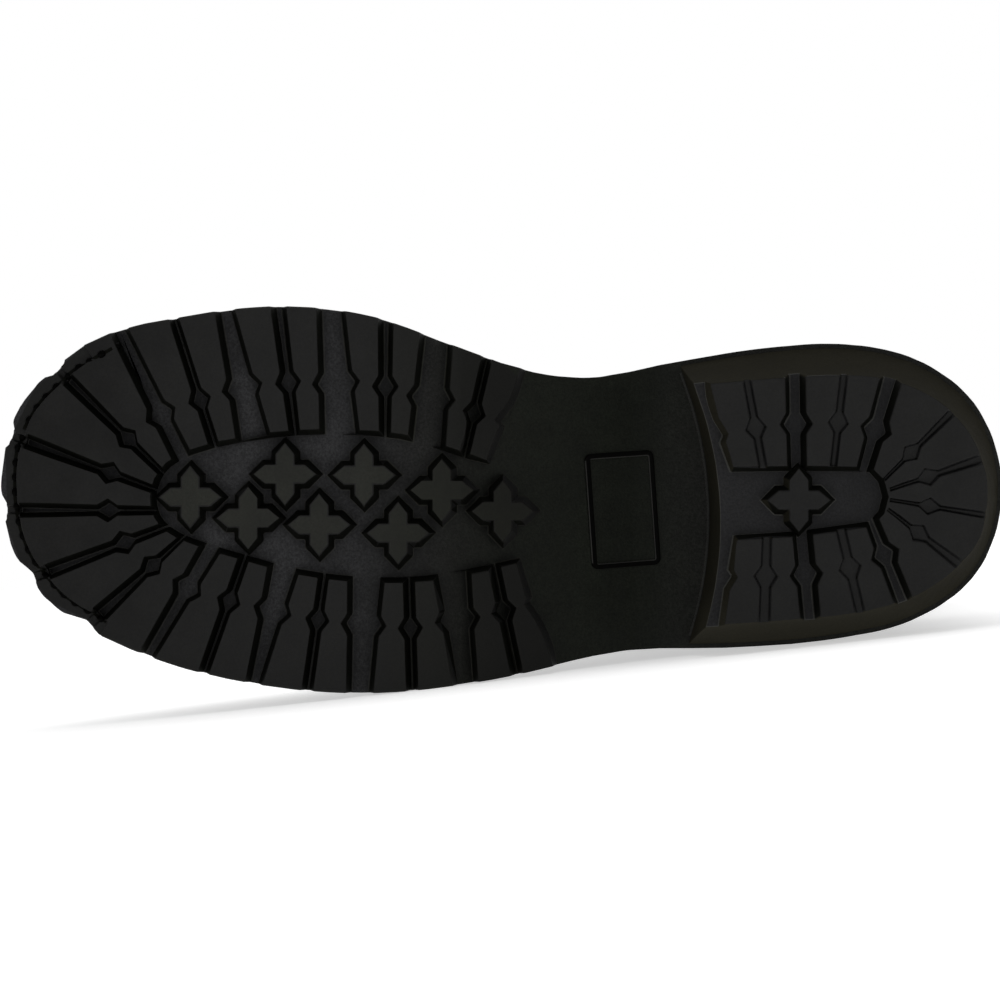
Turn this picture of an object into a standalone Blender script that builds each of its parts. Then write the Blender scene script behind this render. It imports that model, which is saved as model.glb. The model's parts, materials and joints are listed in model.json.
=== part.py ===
"""Right-foot logger boot lying on its outer side: lugged sole, undershot heel, welt and laced leather upper.

The boot is modelled upright, in millimetres: x runs forward from the back of the heel seat, y towards the
inner (arch) side, z up from the ground under ball and heel. An empty then lays it on the outer edge of its
sole and the side of its shaft. Tables give the sizes, and every curved piece is worked out from them.
"""

import math

import bmesh
import bpy
import numpy as np
from mathutils import Matrix, Vector

MM = 0.001
GAP = 0.3

# Sole: thicknesses, then the rise of toe and shank over the flat ball
LUG_DEPTH = 6.0
BASE_THICKNESS = 5.0
FLANGE = 1.0
EDGE_STEP = 1.2
TOE_SPRING = 13.0
BALL_FRONT = 232.0
BALL_BACK = 178.0
SHANK_TOP = 105.0
SHANK_ROUNDING = 0.25
SEAT_RISE = 28.0
TOE_STATION_STEP = 16.0
SHANK_STATION_STEP = 9.2
TOE_RIM_WIDTH = 5.0
TOE_RIM_DROP = 2.0
TOE_RIM_FROM = 279.0
TOE_RIM_GROOVE = 3.6
TOE_NOTCH_DEPTH = 1.2
TOE_NOTCH_SLOPE = 2.0
TOE_GROOVE_EARLY = 2.0

# Tread: walls lean by the draft, and each groove widens to a notch part of the way in
WALL_DRAFT = 1.6
NOTCH = 2.0
NOTCH_SHOULDER = 3.4
NOTCH_WAIST = 3.0
FLOOR_LEAST = 0.3
CUT_MARGIN = 9.0
CUT_BELOW = 1.0
BEYOND_SIDES = 62.0
SHANK_CORNER = 140.0
CROSS_REACH = 9.6
CROSS_HALF_ARM = 2.85
CROSS_TIP = 3.5
CROSS_ROOT = 1.0
CROSS_SHOULDER_GROWTH = 0.6
CROSS_TIP_GROWTH = 1.2

# Heel
HEEL_GROOVE_DEPTH = 5.0
HEEL_SHALLOW_DEPTH = 1.6
SHALLOW_DRAFT = 0.6
HEEL_SEAT_INSET = 1.4
HEEL_FLARE = 1.25
HEEL_SECTIONS = 3
LIFT_BREAST_HOLLOW = 6.0
SEAT_BREAST_HOLLOW = 7.9
SEAT_BREAST_INNER = 103.6
SEAT_BREAST_OUTER = 99.5

# Upper and what it is built with
WELT_WIDTH = 8.0
WELT_THICKNESS = 4.0
WELT_EDGE_INSET = 1.0
WALL = 2.4
INSOLE_THICKNESS = 4.0
INSOLE_GAP = 1.0
TONGUE_WALL = 3.0
TONGUE_OVERLAP = 15.0
TONGUE_GAP = 0.9
OVERLAY_GAP = 0.6
COUNTER_GAP = 0.9
OVERLAY_WALL = 1.6
EYESTAY_WIDTH = 21.0
EYESTAY_SETBACK = 2.0
EYELET_SETBACK = 10.0
EYELET_PITCH = 21.5
EYELET_PAIRS = 8
EYELET_FIRST = 11.0
EYELET_HOLE = 2.6
EYELET_FLANGE = 4.6
EYELET_CROWN = 3.6
EYELET_RISE = 1.3
EYELET_GAP = 0.6
LACE_RADIUS = 1.5
LACE_CLEARANCE = 2.2
LACE_OVER_TONGUE = 4.4

# Mesh steps. The tread's cuts share their floor's plane, which only the manifold solver keeps closed.
SOLVER = "MANIFOLD"
EDGE_STEPS = 12
FINE_POINTS = 720
SOLE_POINTS = 72
HEEL_SIDE_POINTS = 28
HEEL_BREAST_POINTS = 7
HEEL_ARC_POINTS = 7
MEASURE_STEPS = 80
UPPER_COLUMNS = 36
COLUMN_CROWDING = 0.35
INSOLE_POINTS = 36
EYELET_POINTS = 7
LACE_POINTS = 3

# Outer edge of the sole, from the tip of the toe along the inner side to the heel and back: x, y
SOLE_EDGE = [
    (311.5, 6.0), (306.0, 27.0), (296.5, 38.0), (284.0, 47.2), (253.0, 55.3), (222.0, 58.3), (195.0, 54.8),
    (173.0, 46.8), (148.0, 38.8), (131.0, 37.2), (104.0, 42.1), (72.0, 47.0), (50.0, 48.0), (28.0, 43.6),
    (10.0, 31.0), (0.0, 3.4), (9.0, -25.0), (28.0, -38.5), (53.0, -44.5), (85.0, -47.2), (117.0, -47.9),
    (160.0, -56.0), (200.0, -60.0), (234.0, -56.8), (271.0, -46.4), (296.6, -31.8), (307.0, -18.0),
]
HEEL_TIP = 15

# Grooves between the forepart's lugs: outer end x, y, inner end x, y, width at each end, place of the notch
SOLE_GROOVES = [
    (161.8, 41.5, 168.3, 13.1, 3.5, 3.1, 0.56),
    (177.0, 47.9, 179.9, 17.1, 10.1, 11.9, 0.57),
    (192.4, 53.7, 192.6, 19.8, 5.1, 3.7, 0.59),
    (209.2, 57.4, 206.5, 20.6, 8.2, 12.5, 0.61),
    (225.1, 57.4, 220.3, 20.6, 5.2, 3.5, 0.61),
    (241.4, 56.4, 233.1, 19.5, 5.5, 11.0, 0.62),
    (256.9, 53.7, 244.9, 16.2, 3.1, 3.4, 0.64),
    (273.1, 48.8, 255.1, 13.1, 6.1, 6.4, 0.66),
    (292.3, 38.1, 261.7, 8.3, 4.9, 2.3, 0.68),
    (306.3, 18.3, 263.8, 2.5, 5.2, 2.4, 0.69),
    (308.5, -4.0, 264.3, -4.1, 5.0, 2.7, 0.70),
    (299.3, -24.1, 260.4, -9.3, 5.4, 3.0, 0.69),
    (282.6, -38.1, 255.1, -12.8, 6.1, 1.8, 0.68),
    (264.6, -47.0, 246.1, -15.8, 5.1, 7.0, 0.62),
    (247.5, -52.1, 235.9, -19.2, 3.5, 3.6, 0.62),
    (232.4, -55.8, 223.7, -22.3, 4.6, 10.2, 0.63),
    (216.2, -58.2, 211.4, -24.7, 3.7, 3.4, 0.62),
    (200.3, -58.9, 198.4, -25.6, 7.8, 11.7, 0.60),
    (184.3, -58.9, 185.3, -26.2, 3.8, 3.8, 0.58),
    (168.2, -55.8, 172.0, -24.7, 7.3, 11.9, 0.59),
    (152.7, -52.4, 159.2, -21.6, 4.0, 4.0, 0.57),
]

# Recess inside the ring of lugs, round its toe end from the inner to the outer side: x, y
SOLE_CHANNEL = [
    (161.7, 11.3), (172.8, 15.2), (188.0, 19.4), (203.3, 20.6), (218.5, 20.6), (236.8, 18.3), (252.0, 14.6),
    (259.7, 10.4), (263.2, 5.6), (264.5, 0.0), (263.2, -6.2), (259.7, -10.4), (252.0, -14.2),
    (236.8, -19.0), (218.5, -23.8), (203.3, -25.8), (188.0, -26.2), (172.8, -24.8), (152.3, -20.3),
]
# Shank-side edges of the last lugs, which close the recess over the shank and the seat: x, y
LAST_LUG_OUTER = [(149.3, -31.1), (150.1, -32.9), (146.6, -37.8), (142.0, -49.1), (139.0, -62.0)]
LAST_LUG_INNER = [(149.0, 46.0), (152.0, 37.2), (154.9, 29.0), (159.2, 23.5), (157.6, 22.0)]

# Raised crosses along the middle of the forepart: x, y
SOLE_CROSSES = [
    (252.1, 0.0), (234.4, -6.4), (223.1, 7.0), (212.7, -8.5), (199.0, 6.7), (188.6, -11.0), (175.2, 2.1),
    (156.6, -4.3),
]

# Ground face of the heel, from the inner corner of the breast round the back to the outer corner: x, y
LIFT_EDGE = [
    (98.0, 34.2), (84.3, 35.4), (66.0, 36.8), (53.0, 37.2), (41.6, 36.4), (30.0, 32.8), (20.3, 26.6),
    (13.2, 17.6), (9.4, 8.0), (8.8, -1.0), (12.0, -14.0), (20.3, -23.4), (30.9, -30.2), (44.7, -34.6),
    (66.0, -37.2), (94.1, -39.2),
]

# Grooves of the heel, as for the forepart
HEEL_DEEP_GROOVES = [
    (67.4, 36.3, 66.9, 10.4, 6.4, 6.1, 0.54),
    (38.6, 34.8, 46.0, 9.2, 7.3, 5.2, 0.56),
    (34.6, -31.1, 43.9, -7.6, 6.4, 4.6, 0.58),
    (62.8, -36.6, 65.2, -11.6, 6.4, 6.4, 0.52),
]
HEEL_SHALLOW_GROOVES = [
    (82.0, 34.8, 77.4, 10.1, 2.7, 2.7, 0.56),
    (52.7, 36.3, 55.6, 11.0, 2.7, 2.4, 0.54),
    (19.6, 25.9, 39.2, 6.4, 3.1, 0.8, 0.64),
    (9.9, 11.9, 37.0, 2.8, 3.8, 0.7, 0.63),
    (9.6, -5.5, 37.0, -1.1, 2.6, 0.7, 0.62),
    (17.8, -20.1, 37.9, -4.7, 3.8, 0.7, 0.60),
    (47.7, -34.5, 53.2, -11.0, 3.1, 3.3, 0.55),
    (76.8, -38.1, 76.1, -13.1, 3.9, 3.1, 0.56),
]
# Recess of the heel: fronts of its first lugs and the straight sides of its channel, which ends in an arc
HEEL_CHANNEL_OUTER = [
    (66.0, -12.0), (85.2, -13.1), (86.1, -22.3), (84.9, -24.4), (87.4, -28.4), (88.9, -39.0), (89.6, -52.0),
    (115.0, -52.0),
]
HEEL_CHANNEL_INNER = [
    (115.0, 50.0), (94.4, 50.0), (93.1, 33.6), (90.7, 24.1), (87.7, 19.2), (88.6, 16.8), (86.4, 9.2),
    (66.0, 9.6),
]
HEEL_CHANNEL_CENTRE = (49.4, 0.1)
HEEL_CHANNEL_RADIUS = 10.5
HEEL_CROSS = (66.3, -0.9)

# Sections of the upper from feather edge to collar, and one above it for the tongue. Each is a loop on a
# tilted plane: its back and front points, its half width at the ball and at the heel, how much it takes the
# plan of the foot (or else of an oval), how much it follows the bottom, and half the throat's opening.
UPPER_COLUMNS_OF = ("back_x", "back_z", "front_x", "front_z", "ball", "heel", "foot", "follow", "throat")
UPPER_SECTIONS = [
    (8.0, 41.4, 303.5, 23.7, 51.0, 39.5, 1.00, 1.00, 0.0),
    (8.0, 45.0, 303.5, 27.3, 51.0, 39.5, 1.00, 1.00, 0.0),
    (6.9, 50.0, 304.4, 32.3, 52.0, 40.1, 1.00, 0.98, 0.0),
    (5.8, 57.5, 305.0, 39.5, 52.8, 40.6, 1.00, 0.95, 0.0),
    (5.0, 70.0, 303.0, 50.5, 52.3, 40.5, 1.00, 0.85, 0.0),
    (5.5, 84.0, 294.5, 62.5, 48.8, 39.5, 0.95, 0.70, 0.0),
    (7.5, 97.0, 277.0, 72.5, 43.5, 38.0, 0.85, 0.50, 0.0),
    (10.0, 109.0, 252.0, 81.0, 38.8, 36.8, 0.70, 0.30, 0.0),
    (12.5, 120.0, 226.0, 90.5, 36.0, 36.0, 0.50, 0.15, 0.0),
    (13.6, 125.0, 213.5, 97.0, 35.2, 35.8, 0.40, 0.10, 7.5),
    (14.5, 131.0, 201.0, 104.5, 35.0, 35.5, 0.30, 0.05, 10.0),
    (16.0, 142.0, 181.5, 119.0, 35.0, 35.5, 0.10, 0.00, 12.0),
    (16.5, 154.0, 167.0, 135.5, 35.8, 36.0, 0.00, 0.00, 13.0),
    (16.0, 167.0, 157.0, 153.5, 37.2, 37.0, 0.00, 0.00, 13.8),
    (14.5, 182.0, 150.5, 172.5, 39.2, 39.0, 0.00, 0.00, 14.5),
    (12.5, 198.0, 147.0, 192.0, 41.0, 41.0, 0.00, 0.00, 15.2),
    (10.5, 215.0, 145.0, 211.5, 42.4, 42.0, 0.00, 0.00, 16.0),
    (9.0, 232.0, 144.5, 230.0, 43.4, 43.0, 0.00, 0.00, 16.8),
    (8.6, 237.0, 144.5, 235.5, 43.6, 43.0, 0.00, 0.00, 17.0),
    (6.8, 240.5, 146.2, 239.0, 45.4, 45.0, 0.00, 0.00, 17.2),
    (5.8, 253.0, 146.6, 250.5, 46.4, 46.0, 0.00, 0.00, 17.8),
    (7.0, 266.0, 145.2, 262.0, 45.2, 45.0, 0.00, 0.00, 18.4),
    (8.0, 280.0, 144.0, 275.5, 44.0, 44.0, 0.00, 0.00, 19.0),
]
COLLAR_SECTION = 21
OVAL_POWER = 2.4
BALL_PLACE = 0.55
HEEL_PLACE = 0.30
COUNTER_SECTIONS = (1.5, 7.3)
COUNTER_HALF_ARC = (0.185, 0.105)
COUNTER_COLUMNS = 16
TONGUE_SECTIONS = (7.4, 22)
TONGUE_COLUMNS = 6
EYESTAY_SECTIONS = (8.7, 20.8)
EYESTAY_ROWS = 19
EYESTAY_COLUMNS = 4
EYELETS_FROM = 8.8

BLACK_RUBBER = ((0.022, 0.022, 0.021), 0.48, 0.0)
BLACK_LEATHER = ((0.028, 0.026, 0.025), 0.42, 0.0)
LINING_LEATHER = ((0.16, 0.105, 0.06), 0.7, 0.0)
BLACK_ENAMEL = ((0.02, 0.02, 0.02), 0.3, 0.6)
BLACK_CORD = ((0.018, 0.018, 0.018), 0.8, 0.0)


def new_collection(name):
    collection = bpy.data.collections.new(name)
    bpy.context.scene.collection.children.link(collection)
    return collection


for old in list(bpy.data.objects):
    bpy.data.objects.remove(old, do_unlink=True)
PARTS = new_collection("logger_boot")
CUTTERS = new_collection("cutters")
BOOT = bpy.data.objects.new("boot", None)
PARTS.objects.link(BOOT)


# Curves in plan


def curve_through(points, closed, steps=EDGE_STEPS):
    """A smooth line through the points, as a fine run of points, with slopes that suit uneven spacing."""
    knots = np.array(points, float)
    count = len(knots)
    runs = count if closed else count - 1
    if closed:
        before, after = np.roll(knots, 1, 0), np.roll(knots, -1, 0)
    else:
        before = np.vstack([2 * knots[0] - knots[1], knots[:-1]])
        after = np.vstack([knots[1:], 2 * knots[-1] - knots[-2]])
    back = np.linalg.norm(knots - before, axis=1)[:, None]
    ahead = np.linalg.norm(after - knots, axis=1)[:, None]
    slope = ((after - knots) / ahead * back + (knots - before) / back * ahead) / (back + ahead)
    fine = []
    for i in range(runs):
        j = (i + 1) % count
        length = ahead[i]
        for t in np.arange(steps) / steps:
            start = (1 + 2 * t) * (1 - t) ** 2 * knots[i] + t * (1 - t) ** 2 * length * slope[i]
            end = t * t * (3 - 2 * t) * knots[j] + t * t * (t - 1) * length * slope[j]
            fine.append(start + end)
    if not closed:
        fine.append(knots[-1])
    return np.array(fine)


def resample(line, count):
    """The line's ends and equal steps along it between them."""
    along = np.concatenate([[0], np.cumsum(np.linalg.norm(np.diff(line, axis=0), axis=1))])
    wanted = np.linspace(0, along[-1], count)
    return np.stack([np.interp(wanted, along, line[:, axis]) for axis in (0, 1)], 1)


def inset(loop, distance):
    """A loop that runs anticlockwise, moved inwards by a distance."""
    tangent = np.roll(loop, -1, 0) - np.roll(loop, 1, 0)
    tangent /= np.linalg.norm(tangent, axis=1)[:, None]
    return loop + distance * np.stack([-tangent[:, 1], tangent[:, 0]], 1)


FINE_EDGE = curve_through(SOLE_EDGE, True)
INNER_EDGE = FINE_EDGE[: HEEL_TIP * EDGE_STEPS + 1]
OUTER_EDGE = np.vstack([FINE_EDGE[HEEL_TIP * EDGE_STEPS:], FINE_EDGE[:1]])
FINE_LOOP = np.vstack([
    resample(INNER_EDGE, FINE_POINTS // 2 + 1)[:-1],
    resample(OUTER_EDGE, FINE_POINTS // 2 + 1)[:-1],
])


def sole_loop(count, distance=0.0):
    """The sole's edge, inset: half its points on the inner side from the toe, half on the outer side."""
    return inset(FINE_LOOP, distance)[:: FINE_POINTS // count]


# Height of the sole along its length


def rounded_ramp(t, rounding):
    slope = 1 / (1 - rounding)
    if t < rounding:
        return slope * t * t / (2 * rounding)
    if t > 1 - rounding:
        return 1 - slope * (1 - t) ** 2 / (2 * rounding)
    return slope * (t - rounding / 2)


def rise_at(x):
    """How far toe spring and shank lift the tread off the ground."""
    if x > BALL_FRONT:
        return TOE_SPRING * ((x - BALL_FRONT) / (SOLE_EDGE[0][0] - BALL_FRONT)) ** 2
    if x < SHANK_TOP:
        return SEAT_RISE
    if x < BALL_BACK:
        return SEAT_RISE * rounded_ramp((BALL_BACK - x) / (BALL_BACK - SHANK_TOP), SHANK_ROUNDING)
    return 0.0


STATIONS = np.concatenate([
    np.arange(SHANK_TOP, BALL_BACK, SHANK_STATION_STEP),
    [BALL_BACK],
    np.arange(BALL_FRONT, SOLE_EDGE[0][0], TOE_STATION_STEP),
    [SOLE_EDGE[0][0] + CUT_MARGIN],
])
STATION_RISE = np.array([rise_at(x) for x in STATIONS])


def rise(x):
    """The rise as straight runs between stations, so that flat faces stay flat when they are lifted."""
    return np.interp(x, STATIONS, STATION_RISE)


SOLE_TOP = LUG_DEPTH + BASE_THICKNESS
SEAT_BOTTOM = SEAT_RISE + LUG_DEPTH


# Meshes and objects


def material(name, finish):
    colour, roughness, metallic = finish
    made = bpy.data.materials.new(name)
    made.use_nodes = True
    shader = made.node_tree.nodes["Principled BSDF"]
    shader.inputs["Base Color"].default_value = (*colour, 1.0)
    shader.inputs["Roughness"].default_value = roughness
    shader.inputs["Metallic"].default_value = metallic
    return made


RUBBER = material("rubber", BLACK_RUBBER)
LEATHER = material("leather", BLACK_LEATHER)
LINING = material("lining", LINING_LEATHER)
ENAMEL = material("enamel", BLACK_ENAMEL)
CORD = material("cord", BLACK_CORD)


def add_object(name, mesh, finish=None):
    """Links a part to the boot, or with no finish a cutter."""
    made = bpy.data.objects.new(name, mesh)
    made.parent = BOOT
    if finish:
        PARTS.objects.link(made)
        mesh.materials.clear()
        mesh.materials.append(finish)
    else:
        CUTTERS.objects.link(made)
        made.hide_render = True
        made.display_type = "WIRE"
    return made


def mesh_from(shape, name):
    mesh = bpy.data.meshes.new(name)
    shape.to_mesh(mesh)
    shape.free()
    return mesh


def loft(name, rings, ring_closed=False):
    """A closed mesh through rings of equal count, capped at both ends or joined from last to first."""
    shape = bmesh.new()
    rows = [[shape.verts.new(Vector(point) * MM) for point in ring] for ring in rings]
    pairs = list(zip(rows, rows[1:]))
    if ring_closed:
        pairs.append((rows[-1], rows[0]))
    else:
        shape.faces.new(rows[0])
        shape.faces.new(rows[-1])
    for low, high in pairs:
        for i in range(len(low)):
            shape.faces.new((low[i - 1], low[i], high[i], high[i - 1]))
    bmesh.ops.recalc_face_normals(shape, faces=shape.faces)
    return mesh_from(shape, name)


def ring(loop, z):
    return [(x, y, z) for x, y in loop]


def baked(obj):
    """Puts what the modifiers make into the object's own mesh."""
    finish = obj.data.materials[0] if obj.data.materials else None
    graph = bpy.context.evaluated_depsgraph_get()
    mesh = bpy.data.meshes.new_from_object(obj.evaluated_get(graph))
    obj.modifiers.clear()
    obj.data = mesh
    mesh.materials.clear()
    if finish:
        mesh.materials.append(finish)
    return obj


def boolean(obj, others, operation):
    for other in others:
        step = obj.modifiers.new(operation.lower(), "BOOLEAN")
        step.operation = operation
        step.solver = SOLVER
        step.object = other
    return baked(obj)


def follow_last(obj):
    """Cuts a flat-built piece at the stations and lifts it to the rise of toe and shank."""
    shape = bmesh.new()
    shape.from_mesh(obj.data)
    for x in STATIONS:
        geometry = list(shape.verts) + list(shape.edges) + list(shape.faces)
        bmesh.ops.bisect_plane(
            shape, geom=geometry, dist=MM * 1e-3, plane_co=(x * MM, 0, 0), plane_no=(1, 0, 0)
        )
    for vertex in shape.verts:
        vertex.co.z += float(rise(vertex.co.x / MM)) * MM
    shape.to_mesh(obj.data)
    shape.free()


# Tread


def groove_outline(groove, draft, start):
    """A groove's sides: from its start near the outer end, past its notch, to beyond its inner end."""
    outer, inner = np.array(groove[0:2]), np.array(groove[2:4])
    outer_width, inner_width, notch_at = groove[4:7]
    length = np.linalg.norm(inner - outer)
    along = (inner - outer) / length
    across = np.array([-along[1], along[0]])
    notch = notch_at * length
    places = [start, notch - NOTCH_SHOULDER, notch, notch + NOTCH_WAIST, length + WALL_DRAFT]
    half = []
    for place in places:
        width = np.interp(place, [0, length], [outer_width, inner_width])
        half.append(max(width / 2 - draft, FLOOR_LEAST))
    half[2] += NOTCH
    one_side = [outer + along * place + across * h for place, h in zip(places, half)]
    other_side = [outer + along * place - across * h for place, h in zip(places, half)]
    return one_side + other_side[::-1]


def groove_cutter(name, groove, depth, draft, start=-CUT_MARGIN):
    mouth = ring(groove_outline(groove, -draft * CUT_BELOW / depth, start), -CUT_BELOW)
    floor = ring(groove_outline(groove, draft, start), depth)
    return add_object(name, loft(name, [mouth, floor]))


def notch_cutter(name, groove):
    """A shallow notch through the sole's edge at a groove's outer end."""
    outer, inner = np.array(groove[0:2]), np.array(groove[2:4])
    along = (inner - outer) / np.linalg.norm(inner - outer)
    across = np.array([-along[1], along[0]])
    edge = FINE_LOOP[np.argmin(np.linalg.norm(FINE_LOOP - outer, axis=1))]
    half, wide = groove[4] / 2, groove[4] / 2 + TOE_NOTCH_SLOPE
    flare = wide + (wide - half) * CUT_MARGIN / TOE_NOTCH_DEPTH
    foot = edge + along * TOE_NOTCH_DEPTH
    rim = edge - along * CUT_MARGIN
    outline = [foot + across * half, foot - across * half, rim - across * flare, rim + across * flare]
    return add_object(name, loft(name, [ring(outline, -CUT_BELOW), ring(outline, SOLE_TOP + CUT_BELOW)]))


def recess_cutter(name, outline, depth):
    loop = np.array(outline)
    mouth = ring(inset(loop, -WALL_DRAFT * CUT_BELOW / depth), -CUT_BELOW)
    floor = ring(inset(loop, WALL_DRAFT), depth)
    return add_object(name, loft(name, [mouth, floor]))


def cross_outline(centre, grow):
    arm = CROSS_HALF_ARM + grow
    shoulder = CROSS_REACH - CROSS_TIP + grow * CROSS_SHOULDER_GROWTH
    reach = CROSS_REACH + grow * CROSS_TIP_GROWTH
    quarter = [(arm, arm), (shoulder, arm), (reach, 0.0), (shoulder, -arm)]
    points = []
    for turn in range(4):
        c, s = round(math.cos(turn * math.pi / 2)), round(math.sin(turn * math.pi / 2))
        points += [(centre[0] + c * x + s * y, centre[1] - s * x + c * y) for x, y in quarter]
    return points


def cross_post(name, centre, depth):
    root = depth + CROSS_ROOT
    top = ring(cross_outline(centre, 0.0), 0.0)
    foot = ring(cross_outline(centre, WALL_DRAFT * root / depth), root)
    return add_object(name, loft(name, [top, foot]))


def make_outsole():
    full, stepped = sole_loop(SOLE_POINTS), sole_loop(SOLE_POINTS, EDGE_STEP)
    flange = LUG_DEPTH + FLANGE
    rings = [ring(full, 0), ring(full, flange), ring(stepped, flange), ring(stepped, SOLE_TOP)]
    outsole = add_object("outsole", loft("outsole", rings), RUBBER)
    front = curve_through(SOLE_CHANNEL, False, 2)
    back = [(-CUT_MARGIN, -BEYOND_SIDES), (-CUT_MARGIN, BEYOND_SIDES), (SHANK_CORNER, BEYOND_SIDES)]
    recess = list(front)[::-1] + LAST_LUG_INNER[::-1] + back[::-1] + LAST_LUG_OUTER[::-1]
    toe = np.array([point for point in sole_loop(SOLE_POINTS) if point[0] > TOE_RIM_FROM])
    toe = toe[np.argsort(-toe[:, 1])][::-1]
    direction = np.gradient(toe, axis=0)
    direction /= np.linalg.norm(direction, axis=1)[:, None]
    inwards = np.stack([-direction[:, 1], direction[:, 0]], 1)
    crescent = list(toe - CUT_MARGIN * inwards) + list(toe + TOE_RIM_WIDTH * inwards)[::-1]
    cutters = [recess_cutter("sole_recess", recess, LUG_DEPTH)]
    rim = loft("toe_rim", [ring(crescent, -CUT_BELOW), ring(crescent, TOE_RIM_DROP)])
    cutters.append(add_object("toe_rim", rim))
    for number, groove in enumerate(SOLE_GROOVES):
        name = f"sole_groove_{number}"
        if groove[0] < TOE_RIM_FROM:
            cutters.append(groove_cutter(name, groove, LUG_DEPTH, WALL_DRAFT))
            continue
        cutters.append(groove_cutter(name, groove, LUG_DEPTH, WALL_DRAFT, TOE_RIM_WIDTH - TOE_GROOVE_EARLY))
        cutters.append(groove_cutter(f"{name}_rim", groove, TOE_RIM_GROOVE, WALL_DRAFT))
        cutters.append(notch_cutter(f"{name}_notch", groove))
    boolean(outsole, cutters, "DIFFERENCE")
    posts = [cross_post(f"sole_cross_{i}", centre, LUG_DEPTH) for i, centre in enumerate(SOLE_CROSSES)]
    boolean(outsole, posts, "UNION")
    follow_last(outsole)


def heel_ring(outline, hollow):
    """A heel section: its side round the back, and the hollow curve of its breast."""
    side = resample(np.array(outline), HEEL_SIDE_POINTS)
    t = np.linspace(0, 1, HEEL_BREAST_POINTS + 2)[1:-1, None]
    breast = side[-1] + (side[0] - side[-1]) * t
    breast[:, 0] -= hollow * (1 - (2 * t[:, 0] - 1) ** 2)
    return np.vstack([side, breast])


def make_heel():
    lift = heel_ring(curve_through(LIFT_EDGE, False), LIFT_BREAST_HOLLOW)
    edge = inset(FINE_EDGE, HEEL_SEAT_INSET)
    on_inner = (edge[:, 0] < SEAT_BREAST_INNER) & (edge[:, 1] > 0)
    on_outer = (edge[:, 0] < SEAT_BREAST_OUTER) & (edge[:, 1] <= 0)
    seat = heel_ring(edge[on_inner | on_outer], SEAT_BREAST_HOLLOW)
    rings = []
    for step in range(HEEL_SECTIONS + 1):
        height = step / HEEL_SECTIONS
        share = height ** HEEL_FLARE
        rings.append(ring(lift + (seat - lift) * share, height * (SEAT_BOTTOM - GAP)))
    heel = add_object("heel", loft("heel", rings), RUBBER)
    turn = np.linspace(-0.5, 0.5, HEEL_ARC_POINTS)[1:-1] * math.pi
    centre, radius = np.array(HEEL_CHANNEL_CENTRE), HEEL_CHANNEL_RADIUS
    arc = [centre + radius * np.array([-math.cos(a), -math.sin(a)]) for a in turn]
    recess = HEEL_CHANNEL_INNER + arc + HEEL_CHANNEL_OUTER
    cutters = [recess_cutter("heel_recess", recess, HEEL_GROOVE_DEPTH)]
    for number, groove in enumerate(HEEL_DEEP_GROOVES):
        cutters.append(groove_cutter(f"heel_deep_{number}", groove, HEEL_GROOVE_DEPTH, WALL_DRAFT))
    for number, groove in enumerate(HEEL_SHALLOW_GROOVES):
        cutters.append(groove_cutter(f"heel_shallow_{number}", groove, HEEL_SHALLOW_DEPTH, SHALLOW_DRAFT))
    boolean(heel, cutters, "DIFFERENCE")
    boolean(heel, [cross_post("heel_cross", HEEL_CROSS, HEEL_GROOVE_DEPTH)], "UNION")


# Upper: one function gives every point of its outer side


SECTIONS = np.array(UPPER_SECTIONS)
SECTION_SLOPES = np.gradient(SECTIONS, axis=0)
FEATHER = sole_loop(FINE_POINTS, WELT_WIDTH)
FEATHER_BACK, FEATHER_FRONT = FEATHER[:, 0].min(), FEATHER[:, 0].max()


def section(v):
    """The section table read at any height, on a smooth curve through its rows."""
    i = min(max(int(math.floor(v)), 0), len(SECTIONS) - 2)
    t = v - i
    start = (1 + 2 * t) * (1 - t) ** 2 * SECTIONS[i] + t * (1 - t) ** 2 * SECTION_SLOPES[i]
    end = t * t * (3 - 2 * t) * SECTIONS[i + 1] + t * t * (t - 1) * SECTION_SLOPES[i + 1]
    return dict(zip(UPPER_COLUMNS_OF, start + end))


FEATHER_ROW = section(0)


def signed_power(value, power):
    return math.copysign(abs(value) ** power, value)


def upper_point(v, u):
    """The upper's outer side at section v, u round it: 0 front, a quarter inner side, a half back."""
    row = section(v)
    place = (u % 1.0) * FINE_POINTS
    i = int(place) % FINE_POINTS
    foot = FEATHER[i] + (FEATHER[(i + 1) % FINE_POINTS] - FEATHER[i]) * (place - int(place))
    foot_along = (foot[0] - FEATHER_BACK) / (FEATHER_FRONT - FEATHER_BACK)
    to_ball = min(max((foot_along - HEEL_PLACE) / (BALL_PLACE - HEEL_PLACE), 0.0), 1.0)
    to_ball = to_ball * to_ball * (3 - 2 * to_ball)
    heel_scale, ball_scale = row["heel"] / FEATHER_ROW["heel"], row["ball"] / FEATHER_ROW["ball"]
    foot_y = foot[1] * (heel_scale + (ball_scale - heel_scale) * to_ball)
    angle = 2 * math.pi * u
    oval_along = 0.5 + 0.5 * signed_power(math.cos(angle), 2 / OVAL_POWER)
    oval_y = row["ball"] * signed_power(math.sin(angle), 2 / OVAL_POWER)
    along = oval_along + (foot_along - oval_along) * row["foot"]
    y = oval_y + (foot_y - oval_y) * row["foot"]
    x = row["back_x"] + (row["front_x"] - row["back_x"]) * along
    level = row["back_z"] + (row["front_z"] - row["back_z"]) * along
    back_rise, front_rise = rise_at(row["back_x"]), rise_at(row["front_x"])
    bend = rise_at(x) - (back_rise + (front_rise - back_rise) * along)
    return np.array([x, y, level + row["follow"] * bend])


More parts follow.
